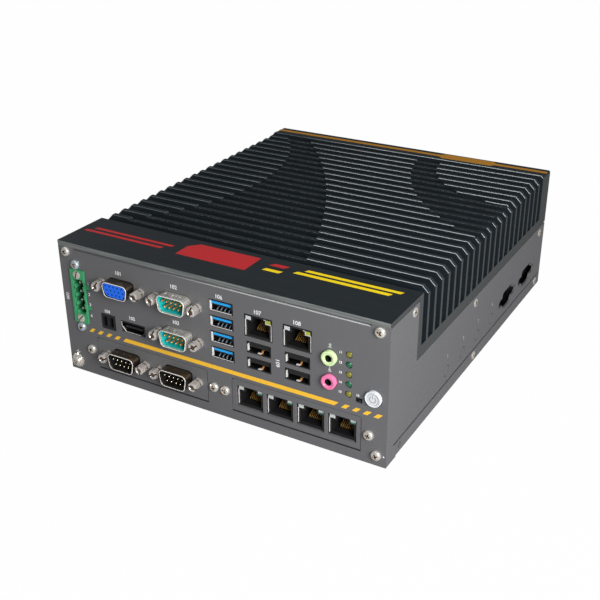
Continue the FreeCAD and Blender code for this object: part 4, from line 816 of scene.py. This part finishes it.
def make_lamps():
    """Domed lamps, green and olive in turn."""
    profile = [(0, -4.3), (1.55, -4.3), (1.55, -0.5), (1.45, -0.2), (1.15, 0.08), (0.65, 0.25), (0, 0.3)]
    olive, green = Shape(FRONT), Shape(FRONT)
    lamps = sorted(front_places("status_lamps", 0), key=lambda place: place[1])
    for number, (across, up, _) in enumerate(lamps):
        (green if number % 2 else olive).turned(profile, (across, up, 0), 28)
    finish_piece("status_lamps_olive", olive, [LAMP_OLIVE], ["status_lamps"])
    finish_piece("status_lamps_green", green, [LAMP_GREEN], ["status_lamps"])


def arc_band(inner, outer, start, end, runs=28):
    """The outline of part of a ring."""
    points = []
    for radius, steps in ((outer, range(runs + 1)), (inner, range(runs, -1, -1))):
        for step in steps:
            angle = math.radians(start + (end - start) * step / runs)
            points.append((radius * math.cos(angle), radius * math.sin(angle)))
    return points


def make_button():
    """The power button with its dished face and mark."""
    across, up, out = front_places("power_button", 1.5)[0]
    cap = Shape(FRONT)
    cap.turned([
        (0, -8.2), (1.4, -8.2), (1.4, -2.25), (4.9, -2.25), (4.9, -1.45), (4.15, -1.45), (4.15, 1.05),
        (4.08, 1.3), (3.88, 1.46), (3.6, 1.5), (3.42, 1.44), (3.3, 1.36), (2.4, 1.33), (0, 1.33),
    ], (across, up, out), 64)
    finish_piece("button_cap", cap, [BUTTON_WHITE], ["power_button"], "button")
    mark = Shape(FRONT)
    level = (1.28, 1.37)
    for radii, start, end in (((1.25, 1.85), 125, 415), ((2.7, 2.95), 0, 180), ((2.7, 2.95), 180, 360)):
        mark.prism(arc_band(*radii, start, end), level, 0, (across, up))
    mark.slab((across - 0.28, across + 0.28), (up + 0.4, up + 2.2), level)
    finish_piece("button_mark", mark, [INK_GREY], body="button")


# Rectangular ports: the middles of the network jacks, and the columns and levels of the USB ports

JACK_MIDDLES = [(123.65, 56.75), (145.15, 56.75)] + [(117.5 + 17.2 * number, 15.15) for number in range(4)]
USB2_LEVELS = (36.25, 45.0)
USB3_COLUMN = 102.55
USB3_LEVELS = [36.6 + 8.7 * number for number in range(4)]


def is_right_light(across, up):
    """Whether a light lies in the right half of its jack."""
    middle = sum(across) / 2
    in_row = [place for place, level in JACK_MIDDLES if abs(level - up) < 10]
    return middle > min(in_row, key=lambda place: abs(place - middle))


def make_jack_lights():
    """Light pipes in the corners of the network jacks."""
    clear, yellow, green = Shape(FRONT), Shape(FRONT), Shape(FRONT)
    for low, high in solids_of("jack_lights"):
        across, out = (low.x - left, high.x - left), (front - high.y, front - low.y)
        bottom, top = low.z - hem, high.z - hem
        if not is_right_light(across, bottom):
            clear.slab(across, (bottom, top), out)
        elif bottom > 40:
            yellow.slab(across, (bottom, top), out)
        else:
            middle = bottom + 0.8
            green.slab(across, (bottom, middle), out)
            clear.slab(across, (middle, top), out)
    for name, shape, finish in (
        ("jack_lights_clear", clear, LIGHT_WHITE), ("jack_lights_yellow", yellow, LIGHT_YELLOW),
        ("jack_lights_green", green, LIGHT_GREEN),
    ):
        finish_piece(name, shape, [finish], ["jack_lights"], bevel=0.12)


def make_port_highlights():
    """Painted highlights: bright strips on the edges of the sheet metal round the network, serial bus and
    display ports, and a glint low in each USB 2 port.
    """
    proud = 0.02
    highlights = Shape(FRONT)
    for number, (across, up) in enumerate(JACK_MIDDLES):
        in_stack = number < 2
        face = 0 if in_stack else -1.2
        start, end, bottom, top = across - 7.6, across + 7.6, up - 5.8, up + 5.8
        highlights.slab((start + 0.35, start + 0.75), (bottom + 0.5, top - 2.6), (face - 1.4, face + proud))
        if not in_stack:
            continue
        for near, far, low, high in (
            (0.42, 0.12, bottom + 0.3, top - 2.3), (3.1, 0.12, top - 2.75, top - 2.45),
            (3.4, 3.1, top - 2.75, top - 0.6), (4.6, 3.1, top - 0.75, top - 0.5),
        ):
            highlights.slab((end - near, end - far), (low, high), (-0.3, proud))
        for level in USB2_LEVELS:
            highlights.slab((across - 6.35, across - 5.95), (level - 2.2, level + 1.6), (-1.3, proud))
            # Painted glint: a pale tab low in the mouth of each USB 2 port.
            highlights.slab((across - 0.7, across + 1.1), (level - 2.75, level - 2.25), (-1.2, -0.1))
    for level in USB3_LEVELS:
        highlights.slab((USB3_COLUMN - 6.5, USB3_COLUMN - 6.05), (level - 2.5, level + 2.5), (-1.3, proud))
        highlights.slab((USB3_COLUMN - 6.3, USB3_COLUMN + 6.3), (level - 2.85, level - 2.55), (-0.4, proud))
    highlights.slab((38.75, 39.15), (35.9, 38.6), (-1.0, proud))
    display_edge = [(38.75, 36.0), (41.3, 33.15), (51.2, 33.15), (51.2, 33.4), (41.45, 33.4), (39.1, 36.1)]
    highlights.prism(display_edge, (-0.4, proud))
    finish_piece("port_painted_highlights", highlights, [HIGHLIGHT_TIN])


def make_springs():
    """Leaf springs and contacts inside the USB ports."""
    leaf = [
        (1.0, 0.0), (2.4, 0.85), (3.2, 0.95), (5.6, 0.0), (5.6, 0.2), (3.3, 1.15), (2.3, 1.05), (1.0, 0.2),
    ]
    copper, bright = Shape(RIGHT), Shape(RIGHT)

    def add_leaf(shape, start, width, level):
        start -= right - left
        shape.prism(leaf, (start, start + width), 0, (0, level - 2.55))

    for node in USB_STACKS:
        for level in USB2_LEVELS:
            add_leaf(copper, column_of(node) + 0.7, 0.9, level)
    for level in USB3_LEVELS:
        for start in (-3.2, -1.0, 1.2, 3.6):
            add_leaf(bright, column_of("usb3_housing") + start, 0.5, level)
    finish_piece("usb_springs_copper", copper, [COPPER])
    finish_piece("usb_springs_bright", bright, [TIN])


# Prints, bare and highlighted edges, and painted shade in gaps and holes


def slanted(across, up, lean):
    """A bar whose ends lean over."""
    return [(across[0], up[0]), (across[1] - lean, up[0]), (across[1], up[1]), (across[0] + lean, up[1])]


def make_prints():
    """The printed bands of the panel and of the lid."""
    bars = [(15.5, 20.0), (21.2, 25.8), (27.0, 31.6), (32.7, 37.4), (38.5, 167.3)]
    bars += [(168.6, 173.3), (174.3, 179.0), (179.9, 184.6), (185.5, 190.3)]
    band = [slanted(across, (26.5, 28.8), 2.2) for across in bars]
    red = [
        slanted((7, 59), (21.5, 23.5), 1.2), slanted((3, 55), (17.2, 19.3), 1.2),
        [(65, 15.7), (106.4, 15.7), (106.4, 31.5), (70, 31.5), (65, 26.5)],
        slanted((114, 124.5), (26.5, 29.5), 2.2),
    ]
    yellow = [
        slanted((133, 185), (28.5, 30.7), 1.2), slanted((129, 181), (24.3, 26.7), 1.2),
        slanted((113.5, 124), (20.5, 23), 1.2),
    ]
    gold = [[
        (0.5, 225.7), (121.5, 225.7), (124, 223.2), (156.5, 223.2), (159, 225.7), (192.2, 225.7),
        (192.2, 229), (159, 229), (156.5, 231.4), (124, 231.4), (121.5, 229), (0.5, 229),
    ]]
    for name, face, outlines, ink, slot in (
        ("panel_band", FRONT, band, INK_ORANGE, "grey_paint"),
        ("lid_print_red", TOP, red, INK_RED, "black_anodised"),
        ("lid_print_yellow", TOP, yellow, INK_YELLOW, "black_anodised"),
        ("lid_print_gold", TOP, gold, INK_GOLD, "black_anodised"),
    ):
        shape = Shape(face)
        for points in outlines:
            shape.prism(points, (-INK, INK))
        finish_piece(name, shape, [ink])


def make_panel_edges():
    """The cut edge and the fold along the top of the panel, and the milled face of the lid's lip."""
    for name, across, up, out, finish, slot, bevel in (
        ("panel_cut_edge", (9.8, 182.9), (72.98, 73.04), (-1.16, -0.04), CUT_EDGE_HIGHLIGHT, "grey_paint", 0),
        ("panel_top_fold", (9.6, 183.1), (72.0, 75.1), (-1.7, -1.22), GREY, "grey_paint", 0),
        ("lid_lip_face", (0.15, 192.55), (74.32, 76.9), (-0.6, 0.03), MILLED_LIP, "black_anodised", 0.1),
    ):
        strip = Shape(FRONT)
        strip.slab(across, up, out)
        finish_piece(name, strip, [finish], bevel=bevel)


def make_terminal_ribs():
    """The keyed ribs on the right side of the green terminal."""
    ribs = Shape(FRONT)
    for middle in (36.6, 41.72, 46.8, 51.88, 57.0):
        ribs.prism([(8.85, middle - 1.5), (10.3, middle), (8.85, middle + 1.5)], (-7.0, 0.7))
    finish_piece("terminal_ribs", ribs, [TERMINAL_GREEN], bevel=0.2)


def make_video_holes():
    """Painted shade: dark blue discs in the fifteen holes of the blue port."""
    floors = Shape(FRONT)
    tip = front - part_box("vga_insert")[0].y / MM
    for row in (-1, 0, 1):
        for number in (-2, -1, 0, 1, 2):
            place = (40.85 + 2.6 * number - 0.65 * row, 58.6 + 2.2 * row, tip)
            floors.turned([(0, -1.2), (0.56, -1.2), (0.56, 0.01), (0, 0.01)], place, 16)
    finish_piece("video_hole_shades", floors, [HOLE_SHADE_BLUE])


def make_gap_shades():
    """Painted shade: dark strips in the gaps beside the module bays, over the lower part of the blue tongues'
    fronts, and in the low side seam.
    """
    gaps = Shape(FRONT)
    for start, end in ((20.2, 92.6), (107.1, 179.5)):
        gaps.slab((start + 0.05, end - 0.05), (5.25, 6.12), (-1.1, 0.02))
        gaps.slab((end - 0.28, end - 0.02), (6.1, 23.4), (-1.1, -0.02))
    for level in USB3_LEVELS:
        across = (USB3_COLUMN - 5.45, USB3_COLUMN + 5.45)
        gaps.slab(across, (level + 0.07, level + 0.72), (-0.95, -0.76))
    finish_piece("gap_shades", gaps, [PORT_BLACK])
    seam = Shape(RIGHT)
    seam.slab((8, lid_rear - front - 3), (7.95, 8.85), (-0.9, 0.03))
    finish_piece("side_seam_shade", seam, [PORT_BLACK])


def make_fin_edges():
    """Painted highlights along the front edges of the fins: bright where a fin is whole, faint in the milled
    arcs.
    """
    bay_depth, deepest_bevel, deepest_arc = 30, 4, 1.5
    corners = [(-0.03, 0.01), (0.1, 0.01), (0.1, 0.4), (-0.03, 0.4)]
    mesh = bmesh.new()
    mesh.from_mesh(nodes["heatsink"].data)
    bmesh.ops.remove_doubles(mesh, verts=mesh.verts, dist=0.001 * MM)
    edges = Shape(ORIGIN)
    for edge in mesh.edges:
        fore, upper = sorted(edge.link_faces, key=lambda face: face.normal.y)
        ends = [vert.co / MM for vert in edge.verts]
        low = min(point.z for point in ends)
        level = upper.normal.z > 0.99
        in_bay = min(point.y for point in ends) < front + bay_depth
        if in_bay or fore.normal.y > -0.99 or upper.normal.z < 0.5:
            continue
        if low < lid_top - (deepest_arc if level else deepest_bevel):
            continue
        rings = []
        for point in ends:
            places = [point + Vector((0, behind, 0)) - upper.normal * under for behind, under in corners]
            rings.append([edges.mesh.verts.new(place * MM) for place in places])
        edges.skin(rings, 1 if level and low <= lid_top - 0.5 else 0)
    mesh.free()
    finish_piece("fin_edge_highlights", edges, [FIN_EDGE_HIGHLIGHT, FAINT_FIN_HIGHLIGHT])


# Labels

DIGIT_SHARE = 0.7  # height of a digit as a share of the size of its font


def lettering(name, face, entries, material):
    """Plain numbers as thin raised ink: text, height of a digit, and its place and turn on a face."""
    meshes = []
    for text, height, across, up, turn in entries:
        data = bpy.data.curves.new(name, "FONT")
        data.body = text
        data.size = height * MM / DIGIT_SHARE
        data.extrude = INK * MM
        data.offset = 0.05 * MM
        data.resolution_u = 3
        data.align_x, data.align_y = "CENTER", "CENTER"
        label = in_scene(name, data)
        meshes.append((evaluated(label), on_face(face, (across, up, 0), turn)))
        bpy.data.objects.remove(label)
    finish_piece(name, merged(meshes), [material])


def make_labels():
    """Plain numbers and generic marks in the label places of the panel and of the right side."""
    white = [
        ("101", 2.1, 39.5, 66.3, 0), ("102", 2.1, 74.5, 66.9, 0), ("103", 2.1, 74.5, 47.0, 0),
        ("105", 2.0, 46.0, 41.9, 0), ("106", 2.1, 101.5, 67.9, 0), ("107", 2.1, 123.3, 64.9, 0),
        ("108", 2.1, 144.9, 64.9, 0), ("109", 2.1, 134.2, 40.6, -90), ("100", 2.0, 2.6, 45.0, -90),
    ]
    lettering("panel_numbers", FRONT, white, INK_WHITE)
    small = [("104", 1.8, 29.5, 42.0, 0), ("16", 1.2, 177.2, 35.7, 0)]
    small += [(str(4 - number), 1.7, 18.2, up, 0) for number, up in enumerate((36.5, 43.2, 49.2, 55.4))]
    small += [(str(15 - number), 1.2, 168.0, 34.9 + 5.25 * number, 0) for number in range(5)]
    lettering("panel_numbers_small", FRONT, small, INK_WHITE)
    side = [(str(number + 1), 1.9, 73 + 22.35 * number, 24.5, 0) for number in range(4)]
    lettering("side_numbers", RIGHT, side, INK_GREY)
    marks = Shape(FRONT)
    level = (-INK, INK)
    for up, way in ((58.3, 1), (45.5, -1)):
        marks.slab((162.35, 162.65), (up - 0.9, up + 0.9), level)
        base, tip = up + 0.1 * way, up + way
        marks.prism([(161.7, base), (163.3, base), (162.5, tip)], level)
        marks.slab((161.6, 163.4), (up - 1.25, up - 1.0), level)
    for half, up in ((1.4, 11.2), (0.9, 10.6), (0.4, 10.0)):
        marks.slab((5.5 - half, 5.5 + half), (up, up + 0.28), level)
    marks.slab((5.36, 5.64), (11.4, 12.8), level)
    for across, up, size in ((12.9, 66.9, 0.35), (191.4, 6.0, 0.4)):
        marks.turned([(0, -INK), (size, -INK), (size, INK), (0, INK)], (across, up, 0), 16)
    finish_piece("panel_marks", marks, [INK_WHITE])


def make_feet():
    """Turned rubber feet with a rounded rim and a dimple."""
    foot = Shape(ORIGIN)
    foot.turned([
        (0, 0.5), (2.6, 0.5), (3.0, 0.1), (3.4, 0), (5.3, 0), (5.7, 0.15), (5.85, 0.5), (6.0, 2.5),
        (0, 2.5),
    ], sides=48)
    mesh = foot.to_mesh("foot")
    feet = []
    for low, high in solids_of("rubber_feet"):
        middle = (low + high) / 2
        feet.append((mesh, Matrix.Translation(Vector((middle.x, middle.y, 0)) * MM)))
    finish_piece("feet", merged(feet), [RUBBER], ["rubber_feet"])


for make in (
    make_screws, make_posts, make_earth_washers, make_port_shells, make_pins, make_audio_rings, make_lamps,
    make_button, make_jack_lights, make_springs, make_port_highlights, make_prints, make_panel_edges,
    make_terminal_ribs, make_video_holes, make_gap_shades, make_fin_edges, make_labels, make_feet,
):
    make()

SOFT_EDGES = {
    0.22: ["heatsink"],
    0.2: ["chassis", "bottom_cover"],
    0.15: ["front_panel", "usb3_tongues"],
    0.12: [
        "serial_module_plate", "lan_module_plate", "power_terminal", "remote_switch_header",
        "usb3_housing", *USB_STACKS, *LAN_JACKS,
    ],
    0.1: ["display_shell", "vga_insert"],
}
for edge_width, node_names in SOFT_EDGES.items():
    for node_name in node_names:
        soften(nodes[node_name], edge_width)


# Camera, lights and stage

CAMERA_PLACE = Vector((247.501, -455.443, 276.462)) * MM
CAMERA_TURN = (63.7396, 0.44, 30.1254)
CAMERA_LENS = 58.112
CAMERA_SHIFT = (0.01064, -0.00801)
FLOOR_SHARE = 0.99  # how much of the floor's look to the camera is plain white
WORLD_LIGHT = 0.2  # strength of the world where the camera doesn't see it


def make_camera():
    """The camera at the photograph's place and angle."""
    data = bpy.data.cameras.new("camera")
    data.lens = CAMERA_LENS
    data.shift_x, data.shift_y = CAMERA_SHIFT
    data.clip_start, data.clip_end = 0.01, 20
    camera = in_scene("camera", data)
    camera.location = CAMERA_PLACE
    camera.rotation_euler = [math.radians(angle) for angle in CAMERA_TURN]
    bpy.context.scene.camera = camera


def area_light(name, place, size, power):
    """A soft square lamp that points at the middle of the case."""
    data = bpy.data.lights.new(name, "AREA")
    data.size = size
    data.energy = power
    lamp = in_scene(name, data)
    lamp.location = place
    lamp.rotation_euler = (Vector((0, 0, 0.04)) - Vector(place)).to_track_quat("-Z", "Y").to_euler()


def make_stage():
    """A pale floor and a world that are white where they are seen, and a soft light elsewhere."""
    mesh = bpy.data.meshes.new("floor")
    shape = bmesh.new()
    bmesh.ops.create_grid(shape, x_segments=1, y_segments=1, size=6)
    shape.to_mesh(mesh)
    shape.free()
    floor = in_scene("floor", mesh)
    finish = Finish("pale_floor")
    finish.coloured(finish.graded(finish.noise(600), [(0.3, (0.36, 0.36, 0.36)), (0.7, (0.4, 0.4, 0.4))]))
    finish.set(Roughness=0.9, Specular_IOR_Level=0.1)
    seen = finish.add("ShaderNodeLightPath").outputs["Is Camera Ray"]
    share = finish.ranged(seen, 0, FLOOR_SHARE)
    glow = finish.add("ShaderNodeEmission")
    mix = finish.add("ShaderNodeMixShader")
    finish.link(share, mix.inputs["Fac"])
    finish.link(finish.shader.outputs[0], mix.inputs[1])
    finish.link(glow.outputs[0], mix.inputs[2])
    finish.link(mix.outputs[0], finish.tree.nodes["Material Output"].inputs["Surface"])
    mesh.materials.append(finish.material)
    world = bpy.data.worlds.new("world")
    bpy.context.scene.world = world
    world.use_nodes = True
    tree = world.node_tree
    sky = tree.nodes["Background"]
    seen = tree.nodes.new("ShaderNodeLightPath").outputs["Is Camera Ray"]
    level = tree.nodes.new("ShaderNodeMapRange")
    level.inputs["To Min"].default_value = WORLD_LIGHT
    level.inputs["To Max"].default_value = 1.0
    tree.links.new(seen, level.inputs["Value"])
    tree.links.new(level.outputs["Result"], sky.inputs["Strength"])
    sky.inputs["Color"].default_value = (1, 1, 1, 1)


bpy.context.scene.view_settings.view_transform = "Standard"
make_camera()
make_stage()
area_light("key", (0.56, -0.46, 0.34), 0.35, 7.0)
area_light("top", (-0.1, 0.0, 0.9), 0.7, 1.8)
area_light("left", (-0.6, 0.15, 0.2), 0.3, 0.35)
